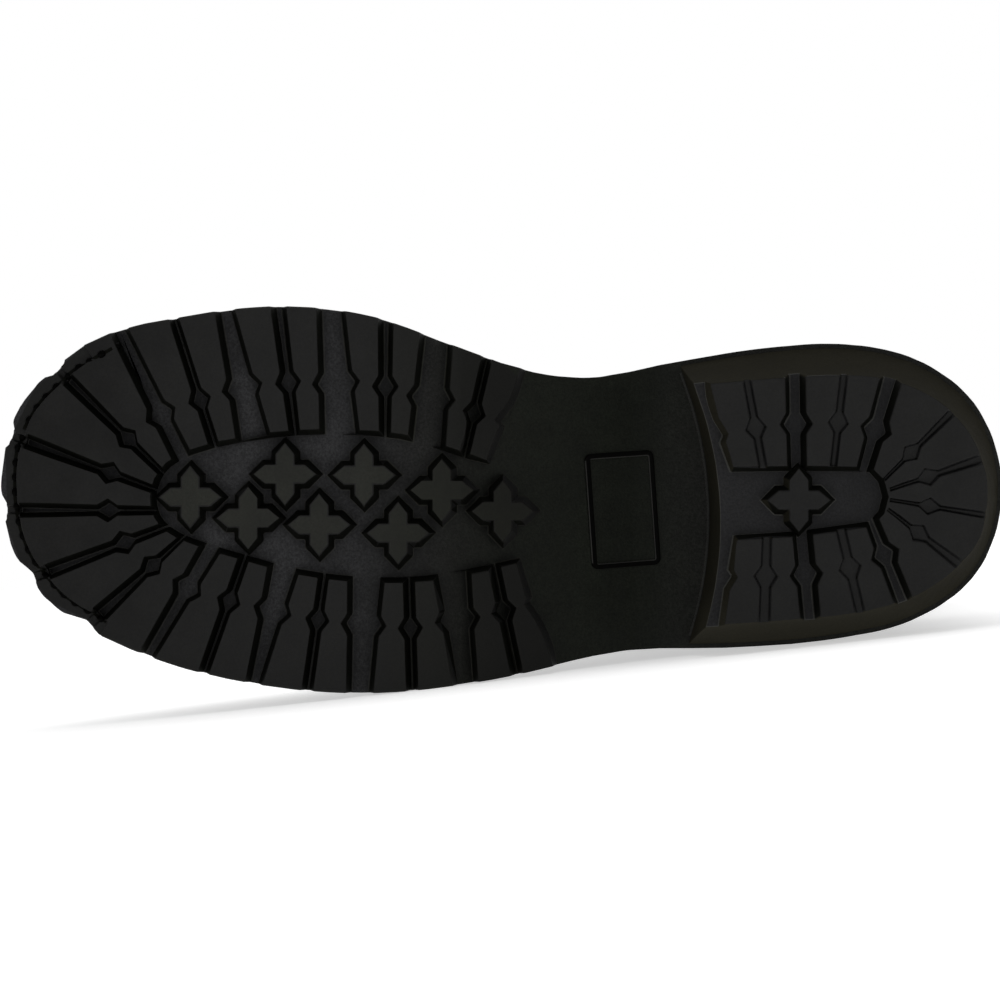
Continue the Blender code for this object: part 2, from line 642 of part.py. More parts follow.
def upper_offset(v, u, distance):
    """A point off the upper's outer side, outwards along its normal."""
    du, dv = 1e-3, 1e-2
    round_it = upper_point(v, u + du) - upper_point(v, u - du)
    up_it = upper_point(v + dv, u) - upper_point(v - dv, u)
    normal = np.cross(round_it, up_it)
    return upper_point(v, u) + distance * normal / np.linalg.norm(normal)


def from_front(v, distance):
    """The u that lies a distance round the section from its front, positive towards the inner side."""
    reach = np.linspace(0, math.copysign(0.25, distance), MEASURE_STEPS)
    line = np.array([upper_point(v, u) for u in reach])
    along = np.concatenate([[0], np.cumsum(np.linalg.norm(np.diff(line, axis=0), axis=1))])
    return float(np.interp(abs(distance), along, reach))


def upper_places():
    """The upper's columns, as shares of the way round it, closer together at toe and heel."""
    share = np.arange(UPPER_COLUMNS) / UPPER_COLUMNS
    return share - COLUMN_CROWDING * np.sin(4 * math.pi * share) / (4 * math.pi)


def sheet(name, rows, thickness, finish, outwards):
    """A curved wall: a grid of points, rows upwards and columns anticlockwise, with its thickness."""
    shape = bmesh.new()
    grid = [[shape.verts.new(Vector(point) * MM) for point in row] for row in rows]
    for low, high in zip(grid, grid[1:]):
        for i in range(len(low) - 1):
            shape.faces.new((low[i], low[i + 1], high[i + 1], high[i]))
    bmesh.ops.remove_doubles(shape, verts=shape.verts, dist=1e-6)
    made = add_object(name, mesh_from(shape, name), finish)
    made.data.shade_smooth()
    wall = made.modifiers.new("wall", "SOLIDIFY")
    wall.thickness = thickness * MM
    wall.offset = 1 if outwards else -1
    wall.use_even_offset = True
    return made


def make_upper():
    rows = []
    places = np.append(upper_places(), 1.0)
    for v in range(COLLAR_SECTION + 1):
        throat = section(v)["throat"]
        inner = from_front(v, throat) if throat else 0.0
        outer = 1.0 + (from_front(v, -throat) if throat else 0.0)
        rows.append([upper_point(v, inner + (outer - inner) * place) for place in places])
    sheet("upper", rows, WALL, LEATHER, outwards=False)


def make_tongue():
    rows = []
    bottom, top = TONGUE_SECTIONS
    for v in [bottom, *range(math.ceil(bottom), top + 1)]:
        half = max(section(v)["throat"], 0.0) + TONGUE_OVERLAP
        places = np.linspace(from_front(v, -half), from_front(v, half), TONGUE_COLUMNS + 1)
        rows.append([upper_offset(v, u, -WALL - TONGUE_GAP) for u in places])
    sheet("tongue", rows, TONGUE_WALL, LEATHER, outwards=False)


def make_counter():
    rows = []
    bottom, top = COUNTER_SECTIONS
    for v in [bottom, *range(math.ceil(bottom), math.ceil(top)), top]:
        share = (v - bottom) / (top - bottom)
        half = COUNTER_HALF_ARC[0] + (COUNTER_HALF_ARC[1] - COUNTER_HALF_ARC[0]) * share ** 2
        places = np.linspace(0.5 - half, 0.5 + half, COUNTER_COLUMNS + 1)
        rows.append([upper_offset(v, u, COUNTER_GAP) for u in places])
    sheet("counter", rows, OVERLAY_WALL, LEATHER, outwards=True)


def make_eyestay(name, side):
    rows = []
    for v in np.linspace(*EYESTAY_SECTIONS, EYESTAY_ROWS):
        near = section(v)["throat"] + EYESTAY_SETBACK
        distances = np.linspace(near, near + EYESTAY_WIDTH, EYESTAY_COLUMNS + 1)
        places = sorted(from_front(v, side * distance) for distance in distances)
        rows.append([upper_offset(v, u, OVERLAY_GAP) for u in places])
    sheet(name, rows, OVERLAY_WALL, LEATHER, outwards=True)


def make_insole():
    loop = sole_loop(INSOLE_POINTS, WELT_WIDTH + WALL + INSOLE_GAP)
    low = SOLE_TOP + GAP
    mesh = loft("insole", [ring(loop, low), ring(loop, low + INSOLE_THICKNESS)])
    follow_last(add_object("insole", mesh, LINING))


def make_welt():
    columns = np.round(upper_places() * FINE_POINTS).astype(int)
    outer = sole_loop(FINE_POINTS, WELT_EDGE_INSET)[columns]
    inner = sole_loop(FINE_POINTS, WELT_WIDTH - GAP)[columns]
    low, high = SOLE_TOP + GAP, SOLE_TOP + GAP + WELT_THICKNESS
    rings = [ring(outer, low), ring(outer, high), ring(inner, high), ring(inner, low)]
    follow_last(add_object("welt", loft("welt", rings, ring_closed=True), LEATHER))


# Lacing


def eyelet_sections():
    """The sections at which the pairs of eyelets sit, at equal steps along the facing."""
    heights = np.linspace(EYELETS_FROM, COLLAR_SECTION, 2 * MEASURE_STEPS)
    line = np.array([upper_point(v, from_front(v, section(v)["throat"] + EYELET_SETBACK)) for v in heights])
    along = np.concatenate([[0], np.cumsum(np.linalg.norm(np.diff(line, axis=0), axis=1))])
    return np.interp(EYELET_FIRST + EYELET_PITCH * np.arange(EYELET_PAIRS), along, heights)


def eyelet_distance(v):
    return section(v)["throat"] + EYELET_SETBACK


EYELET_SEAT = OVERLAY_GAP + OVERLAY_WALL + EYELET_GAP
LACE_AT_EYELET = EYELET_SEAT + EYELET_RISE + LACE_CLEARANCE + LACE_RADIUS


def make_eyelets():
    turns = np.linspace(0, 2 * math.pi, EYELET_POINTS, endpoint=False)
    circle = np.stack([np.cos(turns), np.sin(turns)], 1)
    profile = [(EYELET_HOLE, 0), (EYELET_HOLE, EYELET_RISE), (EYELET_CROWN, EYELET_RISE), (EYELET_FLANGE, 0)]
    mesh = loft("eyelet", [ring(circle * radius, z) for radius, z in profile], ring_closed=True)
    mesh.shade_smooth()
    for number, v in enumerate(eyelet_sections(), 1):
        for side_name, side in (("inner", 1), ("outer", -1)):
            u = from_front(v, side * eyelet_distance(v))
            seat = Vector(upper_offset(v, u, EYELET_SEAT))
            outwards = seat - Vector(upper_point(v, u))
            eyelet = add_object(f"eyelet_{side_name}_{number}", mesh, ENAMEL)
            eyelet.location = seat * MM
            eyelet.rotation_euler = outwards.to_track_quat("Z", "Y").to_euler()


def lace_tube(name, start, end):
    """A run of lace over the throat between two eyelets, each given by its section and side."""
    points = []
    for t in np.linspace(0, 1, LACE_POINTS):
        v = start[0] + (end[0] - start[0]) * t
        distance = start[1] * eyelet_distance(start[0]) * (1 - t) + end[1] * eyelet_distance(end[0]) * t
        height = LACE_AT_EYELET - (LACE_AT_EYELET - LACE_OVER_TONGUE) * math.sin(math.pi * t) ** 2
        points.append(upper_offset(v, from_front(v, distance), height))
    curve = bpy.data.curves.new(name, "CURVE")
    curve.dimensions = "3D"
    curve.bevel_depth = LACE_RADIUS * MM
    curve.bevel_resolution = 1
    curve.use_fill_caps = True
    spline = curve.splines.new("POLY")
    spline.points.add(len(points) - 1)
    for slot, point in zip(spline.points, points):
        slot.co = (*(Vector(point) * MM), 1)
    guide = bpy.data.objects.new(name, curve)
    CUTTERS.objects.link(guide)
    mesh = bpy.data.meshes.new_from_object(guide.evaluated_get(bpy.context.evaluated_depsgraph_get()))
    bpy.data.objects.remove(guide)
    shape = bmesh.new()
    shape.from_mesh(mesh)
    bmesh.ops.remove_doubles(shape, verts=shape.verts, dist=1e-6)
    shape.to_mesh(mesh)
    shape.free()
    return mesh


def make_lace():
    heights = eyelet_sections()
    lace = add_object("lace", lace_tube("lace", (heights[0], 1), (heights[0], -1)), CORD)
    runs = []
    for number, (low, high) in enumerate(zip(heights, heights[1:])):
        for side in (1, -1):
            name = f"lace_run_{number}_{side}"
            runs.append(add_object(name, lace_tube(name, (low, side), (high, -side))))
    boolean(lace, runs, "UNION")


# Rest


def lay_down():
    """Turns the boot so that the widest flat of its hull on the outer side lies on the floor."""
    graph = bpy.context.evaluated_depsgraph_get()
    points = []
    for obj in PARTS.objects:
        if obj.type == "MESH":
            solid = obj.evaluated_get(graph)
            points += [obj.matrix_world @ vertex.co for vertex in solid.data.vertices]
    hull = bmesh.new()
    for point in points:
        hull.verts.new(point)
    bmesh.ops.convex_hull(hull, input=hull.verts)
    bmesh.ops.recalc_face_normals(hull, faces=hull.faces)
    outer_flats = [face for face in hull.faces if face.normal.y < -0.9]
    up = -max(outer_flats, key=lambda face: face.calc_area()).normal
    hull.free()
    shaft = Vector((0, 0, 1))
    away = (shaft - up * shaft.dot(up)).normalized()
    turn = Matrix((away.cross(up), away, up))
    turned = np.array([turn @ point for point in points])
    low, high = turned.min(0), turned.max(0)
    move = Vector((-(low[0] + high[0]) / 2, -(low[1] + high[1]) / 2, -low[2]))
    BOOT.matrix_world = Matrix.Translation(move) @ turn.to_4x4()


make_outsole()
make_heel()
make_insole()
make_upper()
make_tongue()
make_welt()
make_counter()
make_eyestay("eyestay_inner", 1)
make_eyestay("eyestay_outer", -1)
make_eyelets()
make_lace()
bpy.context.view_layer.update()
lay_down()
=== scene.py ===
"""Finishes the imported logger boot: moulded rubber sole, black leather upper, sewn seams, eyelets and lace.

The boot lies on its outer side. BOOT turns the upright boot's own frame (x forward from the heel, y towards
the inner side, z up from the ground) into the row's frame, so details are placed in the shoe's own sizes.
Named sizes are in millimetres; those of the stage and the lengths among the properties are in metres.
"""

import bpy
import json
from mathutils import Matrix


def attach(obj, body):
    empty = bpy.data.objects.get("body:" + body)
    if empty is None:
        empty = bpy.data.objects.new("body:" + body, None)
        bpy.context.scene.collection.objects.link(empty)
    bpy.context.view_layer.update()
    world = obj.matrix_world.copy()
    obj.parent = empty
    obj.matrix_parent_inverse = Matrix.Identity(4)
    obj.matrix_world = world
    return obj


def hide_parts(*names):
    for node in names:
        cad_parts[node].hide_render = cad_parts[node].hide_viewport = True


bl_info = {
    "name": "Logger Boot Finish",
    "version": (1, 0, 0),
    "blender": (4, 5, 0),
    "location": "3D View > Sidebar > Boot",
    "description": "Dresses the solids of a logger boot with rubber, leather, stitches, eyelets and lace",
    "category": "Object",
}

import json
import math
from contextlib import contextmanager
from itertools import combinations

import bmesh
import bpy
import numpy as np
from bpy.props import FloatProperty, FloatVectorProperty, PointerProperty
from mathutils import Matrix, Quaternion, Vector
from mathutils.bvhtree import BVHTree
from mathutils.geometry import intersect_point_line

for spare in ("Cube", "Light", "Camera"):
    if spare in bpy.data.objects:
        bpy.data.objects.remove(bpy.data.objects[spare])
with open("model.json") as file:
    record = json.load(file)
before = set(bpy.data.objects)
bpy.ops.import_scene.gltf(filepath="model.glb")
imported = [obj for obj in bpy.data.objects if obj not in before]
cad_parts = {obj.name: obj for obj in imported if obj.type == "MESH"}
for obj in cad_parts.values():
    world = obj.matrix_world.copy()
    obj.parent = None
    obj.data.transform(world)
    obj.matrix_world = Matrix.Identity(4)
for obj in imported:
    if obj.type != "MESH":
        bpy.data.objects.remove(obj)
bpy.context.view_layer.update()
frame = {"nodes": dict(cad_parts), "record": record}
MM = 0.001
BODY = "root"
SIDES = ("inner", "outer")
MERGE = 0.02

# The two tread mounts in the upright boot's own frame
BALL_TREAD = Vector((199.0, 6.7, 0.0)) * MM
HEEL_TREAD = Vector((66.3, -0.9, 0.0)) * MM

# Turns between faces: crisp in the shading of plain pieces, of soft or round ones and of thread
CRISP = math.radians(35.0)
CRISP_ROUND = math.radians(60.0)
CRISP_THREAD = math.radians(80.0)

# Turns between faces: a corner of a cage, the most between paired triangles, the edge of a sheet
CAGE_CORNER = math.radians(50.0)
QUAD_LIMIT = math.radians(60.0)
SHEET_CORNER = math.radians(45.0)
SHEET_LEVELS = 2
LASTED_BELOW = 60.0
SPLINE_STEPS = 10

# Sole: a face that looks at the ground is told by the rubber behind it, a wall by the rubber across from it
FLOOR_THICKNESS = 7.0
HEEL_FLOOR_THICKNESS = 30.5
WALL_REACH = 45.0
SHALLOW = 2.2
FACING = 0.8
UPRIGHT = 0.45
RAY_LIFT = 0.05
WALL_RAY_LIFT = 0.1
# Zones of the rubber; the walls take a darker copy of its colour, painted shade, and the rounded edges a
# lighter one, a painted highlight
ZONE_TOP, ZONE_FLOOR, ZONE_SIDE, ZONE_WALL, ZONE_EDGE, ZONE_CROSS = range(6)

# Oval that holds the crosses: middle x, y, half length, half width
CROSS_FIELD = (205.0, -2.5, 60.0, 19.0)

# Rounding of moulded edges
FLAT = math.radians(0.15)
SHARP = math.radians(28.0)
SHORTEST_EDGE = 0.25
ROUNDING_SHARE = 0.42
ROUNDING_TRIES = 8
ROUNDING_SEGMENTS = 2
ROUNDING_PROFILE = 0.6
RUN_ON = math.radians(125.0)
FOLD_AREA = 0.05
FOLD_REACH = 1.2
FOLD_EASE = 0.35
FLAP_ROUNDS = 3
FACE_WEIGHT = 100

# Outer sides: how steep they are, the turn that makes a corner, and how facets are bent
SIDE_SLOPE = 0.6
SIDE_TURN = math.radians(20.0)
SIDE_STRAIGHT = math.radians(2.0)
SIDE_LEVEL = 0.5
SIDE_STEP = 2.0
SIDE_CUTS = 3
MOST_CORNERS = 4

# Toe spring: the tread is flat up to the front of the ball and rises to the tip
BALL_BACK = 178.0
BALL_FRONT = 232.0
TOE_TIP = 311.5
TOE_SPRING = 13.0

# Light and shade painted into the rubber's colour along the boot or across it: place on that axis, share of
# the colour
ALONG, ACROSS = 0, 1
# Painted shade: the lugs darker towards the shank, where the tread turns away from the light
LUG_PAINTED_SHADE = [
    (120.0, (0.30, 0.30, 0.25)),
    (158.0, (0.40, 0.40, 0.33)),
    (180.0, (0.65, 0.67, 0.56)),
    (200.0, (1.0, 1.0, 1.0)),
    (312.0, (1.0, 1.0, 1.0)),
]
# Painted shade: the tread floor darker over the shank and towards the toe, where it turns away from the
# light
FLOOR_PAINTED_SHADE = [
    (92.0, (0.42, 0.43, 0.36)),
    (103.0, (0.30, 0.33, 0.25)),
    (111.0, (0.22, 0.26, 0.17)),
    (150.0, (0.22, 0.26, 0.17)),
    (172.0, (0.30, 0.31, 0.25)),
    (205.0, (0.80, 0.80, 0.80)),
    (235.0, (1.0, 1.0, 1.0)),
    (262.0, (0.85, 0.85, 0.85)),
    (290.0, (0.65, 0.65, 0.65)),
]
# Painted light: the heel's side lighter towards its outer side, which lies by the floor and gets little
# light
HEEL_PAINTED_LIGHT = [(-46.0, (1.4, 1.4, 1.4)), (-36.0, (1.4, 1.4, 1.4)), (-28.0, (1.0, 1.0, 1.0))]

# Rubber as it leaves the mould: height of its grain, gloss, how uneven its colour is, and how dark the
# painted shade in its hollows gets
RUBBER = {
    "lug": {"grain": 0.03, "roughness": 0.50, "specular": 0.13},
    "floor": {"grain": 0.12, "roughness": 0.56, "specular": 0.10, "speckle": 0.4, "hollow": 0.15},
    "side": {"grain": 0.05, "roughness": 0.55, "specular": 0.10},
    "wall": {"grain": 0.03, "roughness": 0.60, "specular": 0.06},
    "heel_floor": {"grain": 0.10, "roughness": 0.50, "specular": 0.13, "speckle": 0.4, "hollow": 0.2},
    "heel_side": {"grain": 0.04, "roughness": 0.65, "specular": 0.002, "dust": 0.1},
    "panel": {"grain": 0.02, "roughness": 0.60, "specular": 0.04},
    "panel_highlight": {"grain": 0.02, "roughness": 0.50, "specular": 0.13},
}
# The heel's painted highlight at the lugs' feet is lighter again by this share
HEEL_HIGHLIGHT_SHARE = 1.5

# Spans of a pattern that are stretched to the whole of a tint, and fixed shares of the finishes
NOISE_SPAN = (0.3, 0.7)
SPECK_SPAN = (0.35, 0.65)
HOLLOW_SPAN = (0.35, 0.95)
WEAR_SPAN = (0.55, 0.75)
PEBBLE_SPAN = (0.0, 0.3)
HOLLOW_SAMPLES = 8
COAT_ROUGHNESS = 0.25
WORN_ENAMEL = (0.05, 0.042, 0.03)
DULL = 0.02

# Stitches: sides, share of the pitch, and the ends' dip, the belly and the rise as shares of the thickness
STITCH_SIDES = 6
STITCH_SHARE = 0.8
STITCH_DIP = 0.55
STITCH_BELLY = 0.2
STITCH_RISE = 0.12

# Thickness of the thread
UPPER_THREAD = 0.8
WELT_THREAD = 1.1
TOE_THREAD = 1.9

# Strips laid along a line over a surface
RIBBON_STEP = 1.5
RIBBON_LIFT = 0.2
RIBBON_DEPTH = 0.4

# Rim of the toe and of the welt
TOE_STITCHES_FROM = {"inner": 272.0, "outer": 278.0}
TOE_STITCH_INSET = 3.5
# Width of the dark strip that stands in for the toe's groove: painted shade
TOE_GROOVE_WIDTH = 1.0
TOE_RAY_DROP = 60.0
WELT_STITCH_INSET = 3.0
WELT_ROUND = 0.6
WELT_CORNER = math.radians(50.0)
WELT_SHADE = 0.9

# Rim of the shank along the foot of the heel's breast, where a light strip is a painted highlight
BREAST_SPAN = (-43.5, 39.0)
BREAST_POINTS = 25
BREAST_AHEAD = 135.0
BREAST_HEIGHT = 31.0
BREAST_RAY_DROP = 2.2
BREAST_EDGE_AHEAD = 0.6
BREAST_EDGE_WIDTH = 0.6

# Plain frame moulded into the shank: centre, length along the boot, width across, turn
PANEL_CENTRE = (119.3, -3.9)
PANEL_SIZE = (22.0, 36.0)
PANEL_TURN = math.radians(-4.0)
PANEL_BORDER = 1.7
PANEL_CORNER = 2.0
PANEL_CORNER_STEPS = 4
PANEL_CUTS = 3
PANEL_RISE = 0.7
PANEL_SINK = 0.2
PANEL_ROUND = 0.3
PANEL_SLANT = (0.2, 0.97)
PANEL_RAY_FROM = -20.0
BEVEL_CORNER = math.radians(40.0)

# Insole
INSOLE_FLAT = math.radians(0.7)
INSOLE_ROUND = 1.0
INSOLE_SEGMENTS = 3

# A line through the inside of the boot, from the toe along the foot and up the leg
SPINE = [(275.0, 0.0, 42.0), (165.0, -2.0, 62.0), (95.0, 0.0, 78.0), (78.0, 0.0, 120.0), (76.0, 0.0, 300.0)]
LINING_FACING = -0.2

# Creases, on both sides of the boot: start x, z, end x, z, half width, depth
CREASES = [
    (194.0, 50.0, 224.0, 84.0, 5.5, 1.1),
    (211.0, 46.0, 242.0, 78.0, 5.0, 0.9),
    (178.0, 58.0, 200.0, 84.0, 6.0, 0.7),
    (62.0, 152.0, 132.0, 128.0, 7.5, 1.4),
    (52.0, 138.0, 124.0, 110.0, 7.0, 1.0),
    (70.0, 172.0, 118.0, 160.0, 8.0, 0.8),
    (14.0, 166.0, 48.0, 156.0, 7.0, 1.0),
]
CREASE_RIDGE = 0.45
CREASE_RIDGE_AT = 1.9
CREASE_RUN_OUT = 1.44

# Overlays on the upper: rows of stitches along the edge, and the height of the foot that has none
OVERLAYS = {"counter": (2, 6.0), "eyestay_inner": (1, -math.inf), "eyestay_outer": (1, -math.inf)}
HEM_ROW = 2.6

# Seam of the quarters over the vamp, in the side view, from the foot of the throat to the welt: x, z
QUARTER_SEAM = [
    (206.0, 96.5), (199.0, 84.0), (188.0, 72.0), (178.0, 56.0), (170.0, 40.0), (164.0, 27.0), (161.0, 20.5)
]
SEAM_ROWS = (2.4, 5.2)
SEAM_ROW_RISE = 0.5
# The seam's near-black strip: the quarter's cut edge, with the shade under the overlap painted into it
CUT_EDGE_WIDTH = 0.7
CUT_EDGE_SHADE = 0.1

# Collar's seam: heights of its rows, the leg's axis, and the turns round it in degrees (from, to, step)
COLLAR_SEAM_ROWS = (243.2, 246.0)
COLLAR_TURNS = (10.0, 351.0, 3.0)
LEG_AXIS = (76.0, 0.0)
LEG_REACH = 120.0

# Eyelets: turned from a circle at the foot of the bore, then a share to widen by and a rise at each step
EYELET_PAIRS = 8
EYELET_HALF_RISE = 0.65
EYELET_SIDES = 24
EYELET_BORE = 2.5
EYELET_FOOT = -2.4
EYELET_STEPS = [(1.0, 3.0), (1.1, 0.45), (1.2, 0.22), (1.18, -0.12), (1.14, -0.45), (1.03, -0.7)]
EYELET_WALL = 0.35
EYELET_LEVELS = 1
EYELET_DECIMALS = 6

# Lace, from an eyelet's middle: distance towards the throat, height above the seat; at the top heights only
OVER_FACING = [(0.0, -3.0), (0.2, 0.6), (2.2, 2.9), (5.0, 2.9), (10.0, 1.5)]
UNDER_FACING = [(0.0, -1.0), (0.6, -4.4), (3.4, -6.6), (9.0, -6.6)]
TOP_END = (0.4, 1.6)
BAR_RISE = 0.6
CROSSING_POINTS = 13
CROSSING_ENDS = 0.12
CROSSING_OVER = 2.1
LACE_CLEAR = 0.1
LACE_SIGHT = 25.0
LACE_STEP = 1.0
LACE_SOFTENING = 5
LACE_RESOLUTION = 3
CAP_MERGE = 0.001

# Braid of the lace: pitch of its strands, strands around it, and a wave texture's own period
STRAND_PITCH = 1.6
STRANDS_AROUND = 4.0
WAVE_PERIOD = 2.0 * math.pi / 10.0

# Tongue, pressed in by the lace: reach in radii of the lace, share of the depth
TONGUE_LEVELS = 3
PRESS_FACING = 0.2
PRESS_REACH = 1.5
PRESS_SHARE = 0.8

# Middle of the view, in the boot's own millimetres
VIEW_MIDDLE = (157.5, -0.9, 0.0)

# Studio, in metres: it is bright behind the boot and above it
WHITE = (1.0, 1.0, 1.0, 1.0)
FLOOR_SIZE = 12.0
FLOOR_COLOUR = (0.9, 0.9, 0.9)
BRIGHT_SIDE = (0.0, 0.85, 0.53)
BRIGHT_FROM = 0.75
FRONT_LIGHT_AWAY = 1.9
FRONT_LIGHT_RISE = 0.25
FRONT_LIGHT_SIZE = 0.9
TOP_LIGHT_OFFSET = (0.1, 0.1, 1.5)
TOP_LIGHT_SIZE = 1.4


class BootSole(bpy.types.PropertyGroup):
    edge_round: FloatProperty(
        name="Edge round", description="Rounding of the lugs' edges", default=0.4 * MM, unit="LENGTH"
    )
    rubber: FloatVectorProperty(
        name="Rubber", description="Colour of the lugs", subtype="COLOR", default=(0.0098, 0.0098, 0.0094)
    )
    floor: FloatVectorProperty(
        name="Tread floor", description="Colour between the lugs", subtype="COLOR",
        default=(0.0330, 0.0330, 0.0345),
    )
    cross: FloatVectorProperty(
        name="Crosses", description="Colour of the crosses", subtype="COLOR",
        default=(0.0160, 0.0166, 0.0134),
    )
    heel_floor: FloatVectorProperty(
        name="Heel floor", description="Colour in the heel's channel", subtype="COLOR",
        default=(0.0130, 0.0130, 0.0138),
    )
    side: FloatVectorProperty(
        name="Heel sides", description="Colour of the heel's sides", subtype="COLOR",
        default=(0.0176, 0.0165, 0.0120),
    )
    # Painted shade: a darker copy of the rubber's colour for the lugs' tall walls and the toe's groove strip
    wall: FloatVectorProperty(
        name="Lug walls", description="Colour of the lugs' sides", subtype="COLOR",
        default=(0.0034, 0.0036, 0.0026),
    )
    # Painted highlight: a lighter copy of the rubber's colour on the rounded edges at the lugs' feet, along
    # the breast and in the shank's frame
    edge: FloatVectorProperty(
        name="Lug feet", description="Colour of the edges at the lugs' feet", subtype="COLOR",
        default=(0.0230, 0.0230, 0.0210),
    )
    toe_thread: FloatVectorProperty(
        name="Toe thread", description="Colour of the toe's stitches", subtype="COLOR",
        default=(0.0008, 0.0008, 0.0006),
    )
    toe_stitch: FloatProperty(
        name="Toe stitch", description="Pitch of the stitches in the toe's rim", default=4.6 * MM,
        unit="LENGTH",
    )


class BootUpper(bpy.types.PropertyGroup):
    leather: FloatVectorProperty(
        name="Leather", description="Colour of the upper", subtype="COLOR", default=(0.0120, 0.0112, 0.0105)
    )
    lining: FloatVectorProperty(
        name="Lining", description="Colour of the lining", subtype="COLOR", default=(0.055, 0.040, 0.028)
    )
    insole: FloatVectorProperty(
        name="Insole", description="Colour of the insole", subtype="COLOR", default=(0.16, 0.105, 0.06)
    )
    thread: FloatVectorProperty(
        name="Thread", description="Colour of the stitches", subtype="COLOR", default=(0.036, 0.034, 0.031)
    )
    stitch: FloatProperty(
        name="Stitch", description="Pitch of the upper's stitches", default=3.0 * MM, unit="LENGTH"
    )
    welt_stitch: FloatProperty(
        name="Welt stitch", description="Pitch of the welt's stitches", default=4.6 * MM, unit="LENGTH"
    )
    seam_inset: FloatProperty(
        name="Seam inset", description="From an overlay's edge to its stitches", default=2.2 * MM,
        unit="LENGTH",
    )


class BootLacing(bpy.types.PropertyGroup):
    diameter: FloatProperty(
        name="Cord", description="Diameter of the lace", default=3.0 * MM, unit="LENGTH"
    )
    cord: FloatVectorProperty(
        name="Cord colour", description="Colour of the lace", subtype="COLOR", default=(0.012, 0.012, 0.012)
    )
    enamel: FloatVectorProperty(
        name="Enamel", description="Colour of the eyelets", subtype="COLOR", default=(0.014, 0.014, 0.014)
    )


class BootStage(bpy.types.PropertyGroup):
    distance: FloatProperty(
        name="Distance", description="From the camera to the ground plane of the tread", default=1.2,
        unit="LENGTH",
    )
    view_width: FloatProperty(
        name="View", description="Width seen on the ground plane", default=0.305, unit="LENGTH"
    )
    dim: FloatProperty(
        name="Dim side", description="Brightness of the studio on the camera's side", default=0.22, min=0.0
    )
    front_light: FloatProperty(
        name="Front light", description="Power of the light behind the camera", default=4.2
    )
    top_light: FloatProperty(name="Top light", description="Power of the light overhead", default=4.0)
    floor_glow: FloatProperty(
        name="Floor glow", description="Light that the floor gives off", default=0.5, min=0.0
    )


# The boot's own frame


def boot_frame():
    """The upright boot's frame in the row's frame, from the two tread mounts."""
    mounts = {mount["name"]: mount for mount in frame["record"]["mounts"]}
    heel, ball = (Vector(mounts[name]["pos_m"]) for name in ("heel_tread", "ball_tread"))
    up = -Vector(mounts["heel_tread"]["axis"]).normalized()
    run = BALL_TREAD - HEEL_TREAD
    forward = Quaternion(up, -math.atan2(run.y, run.x)) @ (ball - heel).normalized()
    turn = Matrix((forward, up.cross(forward), up)).transposed()
    return Matrix.Translation(heel - turn @ HEEL_TREAD) @ turn.to_4x4()


BOOT = boot_frame()
TO_BOOT = BOOT.inverted()


def place(x, y, z):
    """A point given in the boot's own millimetres."""
    return BOOT @ (Vector((x, y, z)) * MM)


def boot_way(x, y, z):
    """A direction given along the boot's own axes."""
    return BOOT.to_3x3() @ Vector((x, y, z))


def in_boot(point):
    """Where a point lies, in the boot's own millimetres."""
    return TO_BOOT @ point / MM


UP = boot_way(0, 0, 1).normalized()


def levelled(way):
    """A direction turned level with the ground."""
    return (way - UP * way.dot(UP)).normalized()


def spine_point(point):
    """The point of the line through the boot that is nearest to a point."""
    spine = [place(*row) for row in SPINE]
    found = []
    for start, end in zip(spine, spine[1:]):
        run = end - start
        t = min(max((point - start).dot(run) / run.length_squared, 0.0), 1.0)
        found.append(start + run * t)
    return min(found, key=lambda spot: (point - spot).length)


def outwards(centre, normal):
    """How far a face looks away from the inside of the boot."""
    return normal.dot((centre - spine_point(centre)).normalized())


# Working on objects


def select_only(piece):
    bpy.ops.object.select_all(action="DESELECT")
    piece.select_set(True)
    bpy.context.view_layer.objects.active = piece


@contextmanager
def editing(piece, mode="VERT"):
    """Edit mode on one piece, with all of it selected."""
    select_only(piece)
    bpy.ops.object.mode_set(mode="EDIT")
    bpy.ops.mesh.select_mode(type=mode)
    bpy.ops.mesh.select_all(action="SELECT")
    yield
    bpy.ops.object.mode_set(mode="OBJECT")


@contextmanager
def shaping(piece):
    """The piece's mesh as a bmesh, which is written back at the end."""
    shape = bmesh.new()
    shape.from_mesh(piece.data)
    yield shape
    shape.to_mesh(piece.data)
    shape.free()


def edge_layer(shape, name):
    layers = shape.edges.layers.float
    return layers.get(name) or layers.new(name)


def added(primitive, **sizes):
    """A new primitive, with nothing else selected."""
    bpy.ops.object.select_all(action="DESELECT")
    primitive(**sizes)
    return bpy.context.object


def new_piece(name, data):
    piece = bpy.data.objects.new(name, data)
    bpy.context.scene.collection.objects.link(piece)
    return piece


def mesh_piece(name, points, faces, finish):
    mesh = bpy.data.meshes.new(name)
    mesh.from_pydata(points, [], faces)
    mesh.materials.append(finish)
    return new_piece(name, mesh)


def shape_with(piece, kind, **settings):
    """Adds a modifier and applies it."""
    select_only(piece)
    step = piece.modifiers.new(kind.lower(), kind)
    for name, value in settings.items():
        setattr(step, name, value)
    bpy.ops.object.modifier_apply(modifier=step.name)


def subdivide(piece, levels):
    shape_with(piece, "SUBSURF", levels=levels, render_levels=levels)


def soften(piece, width, corner, segments=ROUNDING_SEGMENTS):
    """Rounds the edges that turn further than a corner."""
    shape_with(
        piece, "BEVEL", width=width * MM, segments=segments, limit_method="ANGLE", angle_limit=corner
    )


def smooth_shade(piece, crisp=CRISP):
    select_only(piece)
    bpy.ops.object.shade_smooth_by_angle(angle=crisp)


